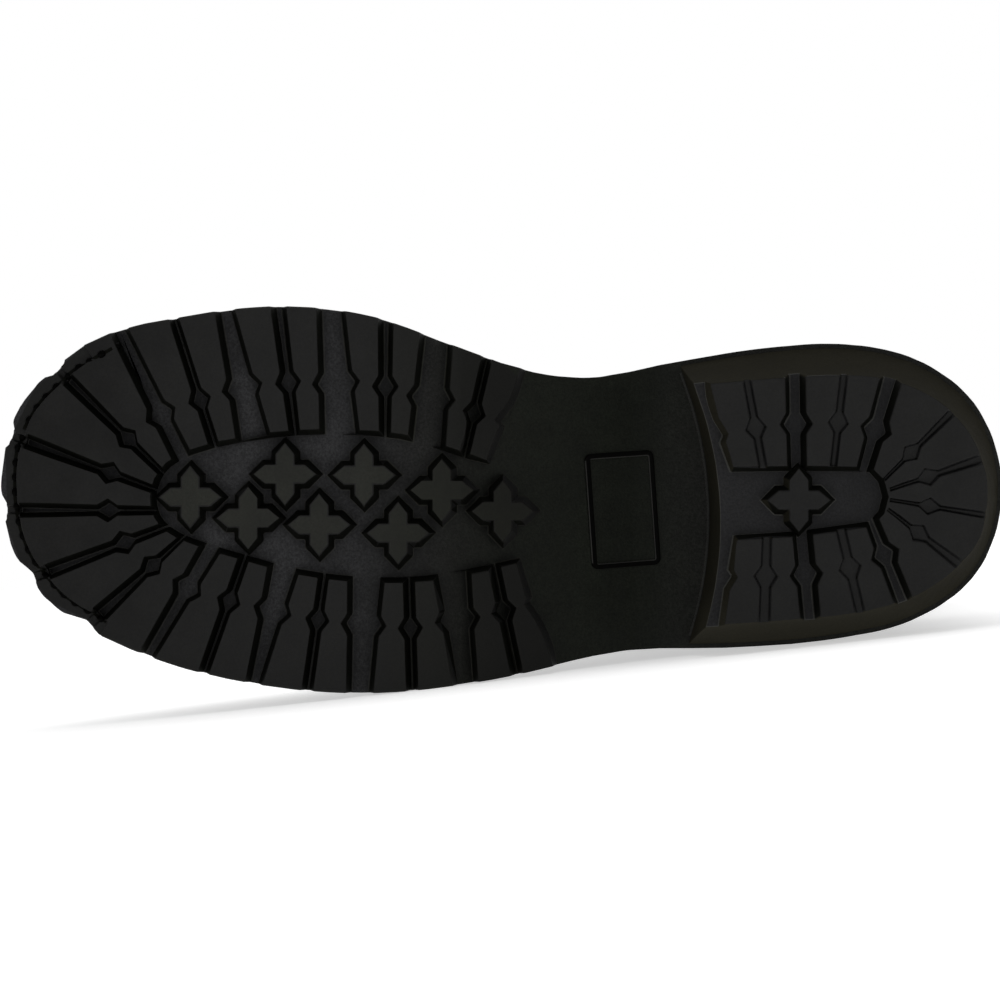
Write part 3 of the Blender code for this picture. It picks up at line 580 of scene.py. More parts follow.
def solid_copy(node, name):
    """A piece that starts as a merged copy of a solid."""
    mesh = frame["nodes"][node].data.copy()
    mesh.materials.clear()
    piece = new_piece(name, mesh)
    select_only(piece)
    bpy.ops.mesh.customdata_custom_splitnormals_clear()
    with editing(piece):
        bpy.ops.mesh.remove_doubles(threshold=MERGE * MM)
        bpy.ops.mesh.mark_sharp(clear=True)
    return piece


def quad_cage(node, name):
    """A copy of a solid with its triangles paired into quads."""
    piece = solid_copy(node, name)
    with editing(piece, "FACE"):
        bpy.ops.mesh.tris_convert_to_quads(face_threshold=QUAD_LIMIT, shape_threshold=QUAD_LIMIT)
    return piece


def crease_sharp(piece, below=math.inf):
    """Keeps the sharp edges of a cage crisp when it is subdivided, up to a height of the boot."""
    with shaping(piece) as shape:
        crease = edge_layer(shape, "crease_edge")
        for edge in shape.edges:
            if len(edge.link_faces) != 2 or edge.calc_face_angle() <= CAGE_CORNER:
                continue
            if in_boot(edge.verts[0].co).z < below:
                edge[crease] = 1.0


def rounded_sheet(node, name, levels=SHEET_LEVELS, crisp_below=None):
    """A leather piece: the solid's cage smoothed, with soft edges above the height where it stays crisp."""
    piece = quad_cage(node, name)
    if crisp_below:
        crease_sharp(piece, crisp_below)
    subdivide(piece, levels)
    smooth_shade(piece, CRISP_ROUND)
    return piece


def finish_piece(piece, slot, *nodes):
    """Lets a piece ride on the body and hides the solids that it stands for. The slot is not used."""
    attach(piece, BODY)
    if nodes:
        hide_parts(*nodes)


# Lines over surfaces


def tree_of(piece):
    mesh = piece.data
    mesh.calc_loop_triangles()
    return BVHTree.FromPolygons([v.co for v in mesh.vertices], [t.vertices for t in mesh.loop_triangles])


def resampled(points, pitch):
    """Equal steps along a smooth line through the points."""
    knots = [Vector(point) for point in points]
    ends = [2 * knots[0] - knots[1], *knots, 2 * knots[-1] - knots[-2]]
    fine = []
    for before, start, end, after in zip(ends, ends[1:], ends[2:], ends[3:]):
        slope_in, slope_out = (end - before) / 2, (after - start) / 2
        for t in np.arange(SPLINE_STEPS) / SPLINE_STEPS:
            fine.append(
                start * ((1 + 2 * t) * (1 - t) ** 2)
                + slope_in * (t * (1 - t) ** 2)
                + end * (t * t * (3 - 2 * t))
                + slope_out * (t * t * (t - 1))
            )
    fine.append(knots[-1])
    line = np.array(fine)
    along = np.concatenate([[0], np.cumsum(np.linalg.norm(np.diff(line, axis=0), axis=1))])
    wanted = np.linspace(0, along[-1], max(2, round(along[-1] / pitch) + 1))
    return [Vector(row) for row in np.stack([np.interp(wanted, along, line[:, a]) for a in range(3)], 1)]


def smooth_sides(shape):
    """The faces of a shape, in groups that no sharp edge parts."""
    left = set(shape.faces)
    sides = []
    while left:
        side, reach = set(), [left.pop()]
        while reach:
            face = reach.pop()
            side.add(face)
            for edge in face.edges:
                for other in edge.link_faces:
                    if other in left and edge.calc_face_angle(math.pi) < SHEET_CORNER:
                        left.remove(other)
                        reach.append(other)
        sides.append([face for face in shape.faces if face in side])
    return sides


def outline_of(node, score):
    """The outline of one side of a solid, the one with the highest score, as points with ways inwards."""
    shape = bmesh.new()
    shape.from_mesh(frame["nodes"][node].data)
    bmesh.ops.remove_doubles(shape, verts=shape.verts, dist=MERGE * MM)

    def worth(side):
        return sum(face.calc_area() * score(face.calc_center_median(), face.normal) for face in side)

    best = max(smooth_sides(shape), key=worth)
    inside = set(best)
    following, inwards = {}, {}
    for face in best:
        for loop in face.loops:
            if inside.issuperset(loop.edge.link_faces):
                continue
            start, end = loop.vert, loop.link_loop_next.vert
            following[start] = end
            way = face.normal.cross((end.co - start.co).normalized())
            for vertex in (start, end):
                inwards[vertex] = inwards.get(vertex, Vector()) + way
    loops = []
    while following:
        vertex = next(iter(following))
        loop = []
        while vertex in following:
            loop.append((vertex.co.copy(), inwards[vertex].normalized()))
            vertex = following.pop(vertex)
        loops.append(loop)
    shape.free()
    return max(loops, key=lambda loop: sum((a[0] - b[0]).length for a, b in zip(loop, loop[1:])))


def longest_run(points, keep):
    """The longest stretch of a closed line whose points are kept."""
    flags = [keep(in_boot(point)) for point in points]
    if all(flags):
        return points + points[:1]
    start = next(i for i, flag in enumerate(flags) if not flag)
    turned = points[start:] + points[:start]
    runs, run = [], []
    for point in turned + [None]:
        if point is not None and keep(in_boot(point)):
            run.append(point)
        else:
            runs.append(run)
            run = []
    return max(runs, key=len)


def stitch_mesh(length, thickness):
    """One stitch, lying along x with its ends bent into the leather."""
    stitch = added(
        bpy.ops.mesh.primitive_uv_sphere_add, segments=STITCH_SIDES, ring_count=STITCH_SIDES, radius=1.0
    )
    with editing(stitch):
        bpy.ops.transform.rotate(
            value=math.pi / 2, orient_axis="Y", orient_type="GLOBAL", center_override=(0.0, 0.0, 0.0)
        )
        bpy.ops.transform.resize(value=(length / 2, thickness / 2, thickness / 2))
    for vertex in stitch.data.vertices:
        reach = vertex.co.x / (length / 2)
        vertex.co.z -= thickness * STITCH_DIP * reach * reach
        vertex.co.y *= 1.0 + STITCH_BELLY * (1.0 - reach * reach)
    mesh = stitch.data
    bpy.data.objects.remove(stitch)
    return mesh


def sew(name, lines, tree, pitch, thickness, finish, slot):
    """Rows of stitches along lines over a surface, joined into one piece."""
    stitch = stitch_mesh(pitch * STITCH_SHARE, thickness)
    count = len(stitch.vertices)
    shape = np.array([vertex.co for vertex in stitch.vertices])
    polygons = [list(polygon.vertices) for polygon in stitch.polygons]
    points, faces = [], []
    for line in lines:
        spots = resampled(line, pitch)
        for start, end in zip(spots, spots[1:]):
            spot, normal, _, _ = tree.find_nearest((start + end) / 2)
            along = (end - start).normalized()
            across = normal.cross(along).normalized()
            turn = np.array([along, across, along.cross(across)])
            base = len(points) * count
            points.append(shape @ turn + np.array(spot + normal * thickness * STITCH_RISE))
            faces += [[base + i for i in polygon] for polygon in polygons]
    bpy.data.meshes.remove(stitch)
    piece = mesh_piece(name, np.concatenate(points).tolist(), faces, finish)
    smooth_shade(piece, CRISP_THREAD)
    finish_piece(piece, slot)


def ribbon(name, line, tree, width, finish, slot):
    """A narrow strip laid along a line over a surface."""
    spots = resampled(line, RIBBON_STEP * MM)
    points = []
    for index, spot in enumerate(spots):
        along = spots[min(index + 1, len(spots) - 1)] - spots[max(index - 1, 0)]
        normal = tree.find_nearest(spot)[1]
        across = normal.cross(along).normalized() * width / 2
        for side in (-1.0, 1.0):
            near, facing, _, _ = tree.find_nearest(spot + across * side)
            points.append(near + facing * RIBBON_LIFT * MM)
    faces = [(2 * i, 2 * i + 2, 2 * i + 3, 2 * i + 1) for i in range(len(spots) - 1)]
    piece = mesh_piece(name, points, faces, finish)
    shape_with(piece, "SOLIDIFY", thickness=RIBBON_DEPTH * MM, offset=-1.0)
    finish_piece(piece, slot)


# Finishes


def set_inputs(node, values):
    for name, value in values.items():
        node.inputs[name].default_value = value


def add_node(tree, kind, values=None, links=None):
    """A new shader node, with plain values and linked sockets on its inputs."""
    node = tree.nodes.new(f"ShaderNode{kind}")
    set_inputs(node, values or {})
    for name, source in (links or {}).items():
        tree.links.new(source, node.inputs[name])
    return node


def shaded(colour, share):
    return tuple(channel * share for channel in colour)


class Finish:
    """A node material under construction; its sizes are in millimetres."""

    def __init__(self, name, colour, roughness, specular=0.5, coat=0.0, metallic=0.0):
        self.material = bpy.data.materials.new(name)
        self.material.use_nodes = True
        self.tree = self.material.node_tree
        self.shader = self.tree.nodes["Principled BSDF"]
        set_inputs(self.shader, {
            "Base Color": (*colour, 1.0),
            "Roughness": roughness,
            "Specular IOR Level": specular,
            "Coat Weight": coat,
            "Coat Roughness": COAT_ROUGHNESS,
            "Metallic": metallic,
        })
        self.coordinates = self.add("TexCoord").outputs["Object"]
        self.normal = None
        self.base = None

    def add(self, kind, values=None, links=None):
        return add_node(self.tree, kind, values, links)

    def noise(self, size, detail=3.0, roughness=0.55):
        """Noise whose patches are about the given size."""
        values = {"Scale": 1.0 / (size * MM), "Detail": detail, "Roughness": roughness}
        return self.add("TexNoise", values, {"Vector": self.coordinates}).outputs["Fac"]

    def pebbles(self, size):
        """Rounded grains with fine valleys between them, as in leather."""
        node = self.add("TexVoronoi", {"Scale": 1.0 / (size * MM)}, {"Vector": self.coordinates})
        node.feature = "DISTANCE_TO_EDGE"
        return self.mapped(node.outputs["Distance"], *PEBBLE_SPAN)

    def strands(self, along, around):
        """Slanted bands on the piece's UV map, counted along it and around it."""
        scale = (along * WAVE_PERIOD, around * WAVE_PERIOD, 0.0)
        turned = self.add("Mapping", {"Scale": scale}, {"Vector": self.add("UVMap").outputs["UV"]})
        node = self.add("TexWave", {"Scale": 1.0}, {"Vector": turned.outputs["Vector"]})
        node.bands_direction = "DIAGONAL"
        return node.outputs["Fac"]

    def mapped(self, source, low, high, to_low=0.0, to_high=1.0):
        values = {"From Min": low, "From Max": high, "To Min": to_low, "To Max": to_high}
        return self.add("MapRange", values, {"Value": source}).outputs["Result"]

    def mix(self, kind, factor, first, second):
        """Mixes two colours, each a socket or a plain colour, into the base colour."""
        node = self.add("Mix")
        node.data_type = "RGBA"
        node.blend_type = kind
        sockets = {socket.identifier: socket for socket in node.inputs}
        for name, value in (("Factor_Float", factor), ("A_Color", first), ("B_Color", second)):
            if isinstance(value, bpy.types.NodeSocket):
                self.tree.links.new(value, sockets[name])
            else:
                sockets[name].default_value = value if name == "Factor_Float" else (*value, 1.0)
        self.base = next(socket for socket in node.outputs if socket.identifier == "Result_Color")
        self.tree.links.new(self.base, self.shader.inputs["Base Color"])

    def tint(self, source, colour, dark, light):
        """Shades of a colour that run from dark to light with a pattern."""
        self.mix("MIX", source, shaded(colour, dark), shaded(colour, light))

    def multiply(self, source):
        """Darkens or lightens the colour by a pattern."""
        self.mix("MULTIPLY", 1.0, self.base, source)

    def fade(self, axis, stops):
        """Paints light and shade into the colour along an axis of the boot: pairs of a place on it and a
        tint.
        """
        reach = self.add("VectorMath", {1: BOOT.to_3x3().col[axis]}, {0: self.coordinates})
        reach.operation = "DOT_PRODUCT"
        first, last = stops[0][0], stops[-1][0]
        offset = TO_BOOT.translation[axis]
        share = self.mapped(reach.outputs["Value"], first * MM - offset, last * MM - offset)
        ramp = self.add("ValToRGB", links={"Fac": share})
        marks = ramp.color_ramp.elements
        while len(marks) < len(stops):
            marks.new(0.5)
        for mark, (spot, level) in zip(marks, stops):
            mark.position = (spot - first) / (last - first)
            mark.color = (*level, 1.0)
        self.multiply(ramp.outputs["Color"])

    def shade_hollows(self, reach, darkest):
        """Paints shade into the colour where the surface lies between close walls."""
        node = self.add("AmbientOcclusion", {"Distance": reach * MM})
        node.samples = HOLLOW_SAMPLES
        node.only_local = True
        self.multiply(self.mapped(node.outputs["AO"], *HOLLOW_SPAN, to_low=darkest))

    def gloss(self, source, roughness, less, more):
        """Roughness that comes and goes with a pattern."""
        level = self.mapped(source, *NOISE_SPAN, roughness - less, roughness + more)
        self.tree.links.new(level, self.shader.inputs["Roughness"])

    def bump(self, source, height, strength=1.0):
        """Relief of a real height, on top of what is there already."""
        links = {"Height": source}
        if self.normal:
            links["Normal"] = self.normal
        node = self.add("Bump", {"Strength": strength, "Distance": height * MM}, links)
        self.normal = node.outputs["Normal"]
        self.tree.links.new(self.normal, self.shader.inputs["Normal"])


def rubber(
    name, colour, grain, roughness, specular, along=None, across=None, speckle=0.15, hollow=None, dust=0.25
):
    """Moulded rubber: fine grain, faint dusty patches, light and shade painted along the boot and across it,
    and painted shade in hollows.
    """
    finish = Finish(name, colour, roughness, specular)
    patches = finish.noise(size=14.0, detail=5.0)
    specks = finish.noise(size=0.8, roughness=0.8)
    finish.tint(finish.mapped(patches, *NOISE_SPAN), colour, dark=1.0 - dust, light=1.0 + dust)
    finish.multiply(finish.mapped(specks, *SPECK_SPAN, 1.0 - speckle, 1.0 + speckle))
    # Painted light and shade along the boot and across it
    if along:
        finish.fade(ALONG, along)
    if across:
        finish.fade(ACROSS, across)
    # Painted shade in hollows between close walls
    if hollow:
        finish.shade_hollows(reach=4.0, darkest=hollow)
    finish.gloss(patches, roughness, less=0.04, more=0.06)
    finish.bump(finish.noise(size=0.55, detail=2.0, roughness=0.7), height=grain)
    return finish.material


def leather(name, colour, roughness=0.40, coat=0.12):
    """Oiled leather: pebbled grain with painted shade in its valleys, pores and a sheen that comes and goes.
    """
    finish = Finish(name, colour, roughness, specular=0.45, coat=coat)
    cloud = finish.noise(size=28.0, detail=5.0)
    grain = finish.pebbles(size=2.0)
    finish.tint(finish.mapped(cloud, *NOISE_SPAN), colour, dark=0.7, light=1.45)
    # Painted shade: the grain's valleys darker
    finish.multiply(finish.mapped(grain, 0.0, 1.0, to_low=0.55))
    finish.gloss(cloud, roughness, less=0.1, more=0.1)
    finish.bump(finish.noise(size=12.0), height=0.5, strength=0.5)
    finish.bump(grain, height=0.12, strength=0.8)
    finish.bump(finish.noise(size=0.5, detail=2.0, roughness=0.7), height=0.05, strength=0.6)
    return finish.material


def thread(name, colour, specular=0.4):
    """Waxed thread, or a raw edge or groove that is as finely rough."""
    finish = Finish(name, colour, roughness=0.5, specular=specular)
    finish.bump(finish.noise(size=0.35, detail=1.0), height=0.06)
    return finish.material


def enamel(name, colour, roughness=0.24):
    """Enamel on metal, worn through in specks."""
    finish = Finish(name, colour, roughness, coat=0.3, metallic=0.4)
    wear = finish.noise(size=1.4)
    finish.mix("MIX", finish.mapped(wear, *WEAR_SPAN), colour, WORN_ENAMEL)
    finish.gloss(wear, roughness, less=0.04, more=0.12)
    return finish.material


def braid(name, colour, length):
    """Round braided cord: two slanted families of strands on the cord's own UV map."""
    finish = Finish(name, colour, roughness=0.72, specular=0.3)
    along = length / STRAND_PITCH / MM
    families = [finish.strands(along, turn * STRANDS_AROUND) for turn in (1.0, -1.0)]
    both = finish.add("Math", links=dict(enumerate(families)))
    both.operation = "MAXIMUM"
    # Painted light and shade: the cord darker between its strands and lighter on their crowns
    finish.tint(both.outputs["Value"], colour, dark=0.35, light=1.5)
    finish.bump(both.outputs["Value"], height=0.25)
    return finish.material


def lining(name, colour):
    """Smooth lining leather with a soft nap."""
    finish = Finish(name, colour, roughness=0.75, specular=0.25)
    cloud = finish.noise(size=22.0, detail=4.0)
    finish.tint(finish.mapped(cloud, *NOISE_SPAN), colour, dark=0.75, light=1.25)
    finish.bump(finish.noise(size=0.7, roughness=0.7), height=0.08)
    return finish.material


# Sole


def rubber_behind(tree, spot):
    """Thickness of the rubber straight above a point of the tread."""
    hit = tree.ray_cast(spot + UP * RAY_LIFT * MM, UP)
    return hit[3] / MM if hit[3] else 0.0


def faces_wall(tree, polygon):
    """Whether a face looks across a gap at more rubber."""
    way = levelled(polygon.normal)
    hit = tree.ray_cast(polygon.center + way * WALL_RAY_LIFT * MM, way, WALL_REACH * MM)
    return hit[0] is not None


def zone_faces(piece, zone_of):
    """Gives each face the material of its zone, from the rubber behind it or its height as a lug's wall."""
    tree = tree_of(piece)
    for polygon in piece.data.polygons:
        thickness, wall = 0.0, 0.0
        if polygon.normal.dot(-UP) > FACING:
            thickness = rubber_behind(tree, polygon.center)
        elif faces_wall(tree, polygon):
            heights = [in_boot(piece.data.vertices[index].co).z for index in polygon.vertices]
            wall = max(heights) - min(heights)
        polygon.material_index = zone_of(in_boot(polygon.center), thickness, wall)


def settle_edges(piece, top_thickness):
    """Leaves the painted highlight at the foot of the lugs; other edges take the lugs' or the walls' own."""
    tree = tree_of(piece)
    for polygon in piece.data.polygons:
        if polygon.material_index != ZONE_EDGE:
            continue
        if polygon.normal.dot(-UP) < UPRIGHT:
            polygon.material_index = ZONE_WALL if faces_wall(tree, polygon) else ZONE_SIDE
        elif rubber_behind(tree, polygon.center) > top_thickness:
            polygon.material_index = ZONE_TOP


def even_normals(piece):
    """Evens the shading of tread faces over the toe's rise, whatever their triangles."""
    mesh = piece.data
    normals = [normal.vector.copy() for normal in mesh.corner_normals]
    for polygon in mesh.polygons:
        if polygon.normal.dot(-UP) < FACING or polygon.material_index == ZONE_EDGE:
            continue
        for loop in polygon.loop_indices:
            x = in_boot(mesh.vertices[mesh.loops[loop].vertex_index].co).x
            if x < BALL_BACK:
                continue
            slope = 2.0 * TOE_SPRING * max(0.0, x - BALL_FRONT) / (TOE_TIP - BALL_FRONT) ** 2
            normals[loop] = boot_way(slope, 0.0, -1.0).normalized()
    mesh.normals_split_custom_set(normals)


def gap_to(edge, spot):
    """Distance from a point to an edge."""
    start, end = (vertex.co for vertex in edge.verts)
    share = min(max(intersect_point_line(spot, start, end)[1], 0.0), 1.0)
    return (spot - start.lerp(end, share)).length


def room_beside(edge):
    """How far an edge can be rounded before it meets another edge of its two faces."""
    room = math.inf
    for face in edge.link_faces:
        for loop in face.loops:
            other = loop.edge
            if other is edge:
                continue
            shared = set(edge.verts) & set(other.verts)
            if not shared:
                gaps = [gap_to(edge, vertex.co) for vertex in other.verts]
                gaps += [gap_to(other, vertex.co) for vertex in edge.verts]
                room = min(room, ROUNDING_SHARE * min(gaps))
                continue
            corner = shared.pop()
            inner = next(turn for turn in face.loops if turn.vert == corner)
            if inner.is_convex:
                reach = min(edge.calc_length(), other.calc_length())
                room = min(room, ROUNDING_SHARE * reach * math.tan(inner.calc_angle() / 2.0))
    return room


def level_chains(shape, weight):
    """Gives edges that run on into each other the same rounding."""
    pairs = []
    for vertex in shape.verts:
        sharp = [edge for edge in vertex.link_edges if edge[weight] > 0.0]
        for one, other in combinations(sharp, 2):
            ways = [edge.other_vert(vertex).co - vertex.co for edge in (one, other)]
            if ways[0].angle(ways[1], 0.0) > RUN_ON:
                pairs.append((one, other))
    changed = True
    while changed:
        changed = False
        for one, other in pairs:
            low = min(one[weight], other[weight])
            if max(one[weight], other[weight]) > low:
                one[weight] = other[weight] = low
                changed = True


def mark_room(piece, width, folds=None):
    """Weights each sharp edge with the share of the rounding it has room for, or eases it near folds."""
    with shaping(piece) as shape:
        weight = edge_layer(shape, "bevel_weight_edge")
        for edge in shape.edges:
            if len(edge.link_faces) != 2 or edge.calc_face_angle() < SHARP:
                continue
            if folds is None:
                edge[weight] = min(1.0, room_beside(edge) / width)
            elif any(gap_to(edge, spot) < FOLD_REACH * MM for spot in folds):
                edge[weight] *= FOLD_EASE
        level_chains(shape, weight)


def fold_spots(piece, tree):
    """Corners of triangles that rounding has turned over."""
    mesh = piece.data
    mesh.calc_loop_triangles()
    spots = []
    for triangle in mesh.loop_triangles:
        corners = [mesh.vertices[index].co for index in triangle.vertices]
        normal = tree.find_nearest(sum(corners, Vector()) / 3)[1]
        if triangle.area > FOLD_AREA * MM * MM and triangle.normal.dot(normal) < 0.0:
            spots += [corner.copy() for corner in corners]
    return spots


def round_edges(piece, width):
    """Rounds every sharp edge of a moulded piece, as far as there is room and no face folds."""
    tree = tree_of(piece)
    cage = piece.data
    mark_room(piece, width)
    for _ in range(ROUNDING_TRIES):
        piece.data = cage.copy()
        shape_with(
            piece, "BEVEL", width=width, segments=ROUNDING_SEGMENTS, profile=ROUNDING_PROFILE,
            limit_method="WEIGHT", use_clamp_overlap=False, loop_slide=False, material=ZONE_EDGE,
        )
        folds = fold_spots(piece, tree)
        if not folds:
            break
        rounded, piece.data = piece.data, cage
        mark_room(piece, width, folds)
        piece.data = rounded


def drop_flaps(piece):
    """Takes off slivers that rounding left hanging on the closed surface."""
    with shaping(piece) as shape:
        for _ in range(FLAP_ROUNDS):
            flaps = {face for edge in shape.edges if edge.is_boundary for face in edge.link_faces}
            bmesh.ops.delete(shape, geom=list(flaps), context="FACES")


def bend_edge(edge, start, ends):
    """Cuts an edge into steps and lifts them onto the curve that is square to the way each end faces."""
    for cut in range(SIDE_CUTS):
        _, start = bmesh.utils.edge_split(edge, start, 1.0 / (SIDE_CUTS + 1 - cut))
        t = (cut + 1.0) / (SIDE_CUTS + 1.0)
        bulges = [normal * (point - start.co).dot(normal) for point, normal in ends]
        start.co += bulges[0].lerp(bulges[1], t) / 2.0


def curve_sides(piece):
    """Bends the flat facets of the outer sides onto a smooth outline."""
    with shaping(piece) as shape:
        outer = (face for face in shape.faces if face.material_index == ZONE_SIDE)
        sides = {face for face in outer if abs(face.normal.dot(UP)) < SIDE_SLOPE}
        facing = {}
        for vertex in {vertex for face in sides for vertex in face.verts}:
            normals = [face.normal for face in vertex.link_faces if face in sides]
            mean = levelled(sum(normals, Vector()))
            if all(normal.angle(mean) < SIDE_TURN for normal in normals):
                facing[vertex] = mean
        for edge in [edge for edge in shape.edges if any(face in sides for face in edge.link_faces)]:
            start, end = edge.verts
            run = end.co - start.co
            if start not in facing or end not in facing or abs(run.dot(UP)) > SIDE_LEVEL * run.length:
                continue
            if run.length >= SIDE_STEP * MM and facing[start].angle(facing[end]) >= SIDE_STRAIGHT:
                bend_edge(edge, start, [(spot.co.copy(), facing[spot]) for spot in (start, end)])
        bmesh.ops.triangulate(shape, faces=[face for face in sides if len(face.verts) > MOST_CORNERS])


def moulded(node, name, materials, zone_of, edge_round, top_thickness):
    """A moulded rubber piece: the solid with flat faces joined, zones painted and every edge rounded."""
    piece = solid_copy(node, name)
    for material in materials:
        piece.data.materials.append(material)
    zone_faces(piece, zone_of)
    with editing(piece):
        bpy.ops.mesh.dissolve_limited(angle_limit=FLAT, delimit={"MATERIAL"})
        bpy.ops.mesh.select_all(action="SELECT")
        bpy.ops.mesh.dissolve_degenerate(threshold=SHORTEST_EDGE * MM)
    curve_sides(piece)
    select_only(piece)
    bpy.ops.object.shade_smooth()
    round_edges(piece, edge_round)
    drop_flaps(piece)
    settle_edges(piece, top_thickness)
    shape_with(piece, "WEIGHTED_NORMAL", mode="FACE_AREA", weight=FACE_WEIGHT)
    return piece


class BOOT_OT_outsole(bpy.types.Operator):
    """Moulds the forepart's lugs, tread floor and shank"""

    bl_idname = "boot.outsole"
    bl_label = "Outsole"

    def execute(self, context):
        sole = context.scene.boot_sole
        materials = [
            # The walls' copy of the rubber is painted shade, the edges' copy a painted highlight
            rubber("rubber_lugs", sole.rubber, **RUBBER["lug"], along=LUG_PAINTED_SHADE),
            rubber("rubber_floor", sole.floor, **RUBBER["floor"], along=FLOOR_PAINTED_SHADE),
            rubber("rubber_side", sole.rubber, **RUBBER["side"]),
            rubber("rubber_wall_shade", sole.wall, **RUBBER["wall"]),
            rubber("rubber_edge_highlight", sole.edge, **RUBBER["lug"], along=LUG_PAINTED_SHADE),
            rubber("rubber_cross", sole.cross, **RUBBER["lug"], along=LUG_PAINTED_SHADE),
        ]

        def zone_of(spot, thickness, wall):
            if thickness > FLOOR_THICKNESS:
                x, y, length, width = CROSS_FIELD
                crossed = math.hypot((spot.x - x) / length, (spot.y - y) / width) < 1.0
                return ZONE_CROSS if crossed else ZONE_TOP
            if thickness > 0.0:
                return ZONE_FLOOR
            return ZONE_WALL if wall > SHALLOW else ZONE_SIDE

        piece = moulded("outsole", "outsole_rubber", materials, zone_of, sole.edge_round, FLOOR_THICKNESS)
        even_normals(piece)
        finish_piece(piece, "sole_rubber", "outsole")
        return {"FINISHED"}


def breast_line(heel, shank):
    """The line on the shank just ahead of the heel's breast."""
    line = []
    for y in np.linspace(*BREAST_SPAN, BREAST_POINTS):
        breast = heel.ray_cast(place(BREAST_AHEAD, y, BREAST_HEIGHT), boot_way(-1.0, 0.0, 0.0))[0]
        if breast is not None:
            spot = in_boot(breast)
            below = place(spot.x + BREAST_EDGE_AHEAD, y, spot.z - BREAST_RAY_DROP)
            line.append(shank.ray_cast(below, UP)[0])
    return line


class BOOT_OT_heel(bpy.types.Operator):
    """Moulds the heel with its lugs and smooth sides, and lays a painted highlight along the rim at its
    breast
    """

    bl_idname = "boot.heel"
    bl_label = "Heel"

    def execute(self, context):
        sole = context.scene.boot_sole
        materials = [
            # The heel's side carries painted light on its outer side, its walls painted shade and its edges
            # a painted highlight
            rubber("heel_lugs", sole.rubber, **RUBBER["lug"]),
            rubber("heel_floor", sole.heel_floor, **RUBBER["heel_floor"]),
            rubber("heel_side", sole.side, **RUBBER["heel_side"], across=HEEL_PAINTED_LIGHT),
            rubber("heel_wall_shade", sole.wall, **RUBBER["wall"]),
            rubber("heel_edge_highlight", shaded(sole.edge, HEEL_HIGHLIGHT_SHARE), **RUBBER["lug"]),
        ]

        def zone_of(spot, thickness, wall):
            if thickness > HEEL_FLOOR_THICKNESS:
                return ZONE_TOP
            if thickness > 0.0 or 0.0 < wall <= SHALLOW:
                return ZONE_FLOOR
            return ZONE_WALL if wall > 0.0 else ZONE_SIDE

        piece = moulded("heel", "heel_rubber", materials, zone_of, sole.edge_round, HEEL_FLOOR_THICKNESS)
        finish_piece(piece, "sole_rubber", "heel")
        heel, shank = (tree_of(frame["nodes"][node]) for node in ("heel", "outsole"))
        # A light strip of painted highlight along the foot of the breast
        rim_highlight = rubber("breast_edge", sole.edge, **RUBBER["lug"])
        ribbon("breast_edge", breast_line(heel, shank), shank, BREAST_EDGE_WIDTH * MM, rim_highlight, "sole_rubber")
        return {"FINISHED"}


def welt_line(inset):
    """The outline of the welt's upper side, set in from its rim."""
    edge = outline_of("welt", lambda centre, normal: normal.dot(UP))
    return [point + way * inset * MM for point, way in edge]


class BOOT_OT_toe_stitches(bpy.types.Operator):
    """Sews the rim of the toe through the sole, along a dark strip of painted shade"""

    bl_idname = "boot.toe_stitches"
    bl_label = "Toe stitches"

    def execute(self, context):
        sole = context.scene.boot_sole

        def in_toe(spot):
            return spot.x > TOE_STITCHES_FROM["inner" if spot.y > 0.0 else "outer"]

        line = longest_run(welt_line(TOE_STITCH_INSET), in_toe)
        tree = tree_of(frame["nodes"]["outsole"])
        below = [tree.ray_cast(point - UP * TOE_RAY_DROP * MM, UP)[0] for point in line]
        # Painted shade: a dark strip where the toe's groove would lie, which is not cut into the rubber
        dark = thread("toe_groove_rubber", sole.wall, DULL)
        ribbon("toe_groove", below, tree, TOE_GROOVE_WIDTH * MM, dark, "sole_rubber")
        finish = thread("toe_thread", sole.toe_thread, DULL)
        sew("toe_stitches", [below], tree, sole.toe_stitch, TOE_THREAD * MM, finish, "sole_rubber")
        return {"FINISHED"}


def flat_frame(name):
    """A flat frame with round corners, lying level about the origin."""
    piece = added(bpy.ops.mesh.primitive_plane_add, size=1.0)
    piece.name = piece.data.name = name
    with editing(piece, "FACE"):
        bpy.ops.transform.resize(value=(PANEL_SIZE[0] * MM, PANEL_SIZE[1] * MM, 1.0))
        bpy.ops.mesh.bevel(offset=PANEL_CORNER * MM, segments=PANEL_CORNER_STEPS, affect="VERTICES")
        bpy.ops.mesh.select_all(action="SELECT")
        bpy.ops.mesh.inset(thickness=PANEL_BORDER * MM)
        bpy.ops.mesh.delete(type="FACE")
        bpy.ops.mesh.select_all(action="SELECT")
        bpy.ops.mesh.subdivide(number_cuts=PANEL_CUTS)
    return piece


def lay_on_shank(piece, shank):
    """Lays a flat piece in its place on the shank, sunk a little and facing the ground."""
    turn = Matrix.Rotation(PANEL_TURN, 3, "Z")
    for vertex in piece.data.vertices:
        flat = turn @ vertex.co / MM
        spot = place(PANEL_CENTRE[0] + flat.x, PANEL_CENTRE[1] + flat.y, PANEL_RAY_FROM)
        vertex.co = shank.ray_cast(spot, UP)[0] + UP * PANEL_SINK * MM
    with editing(piece, "FACE"):
        bpy.ops.mesh.normals_make_consistent(inside=False)
    if sum(polygon.normal.dot(UP) for polygon in piece.data.polygons) > 0:
        with editing(piece, "FACE"):
            bpy.ops.mesh.flip_normals()


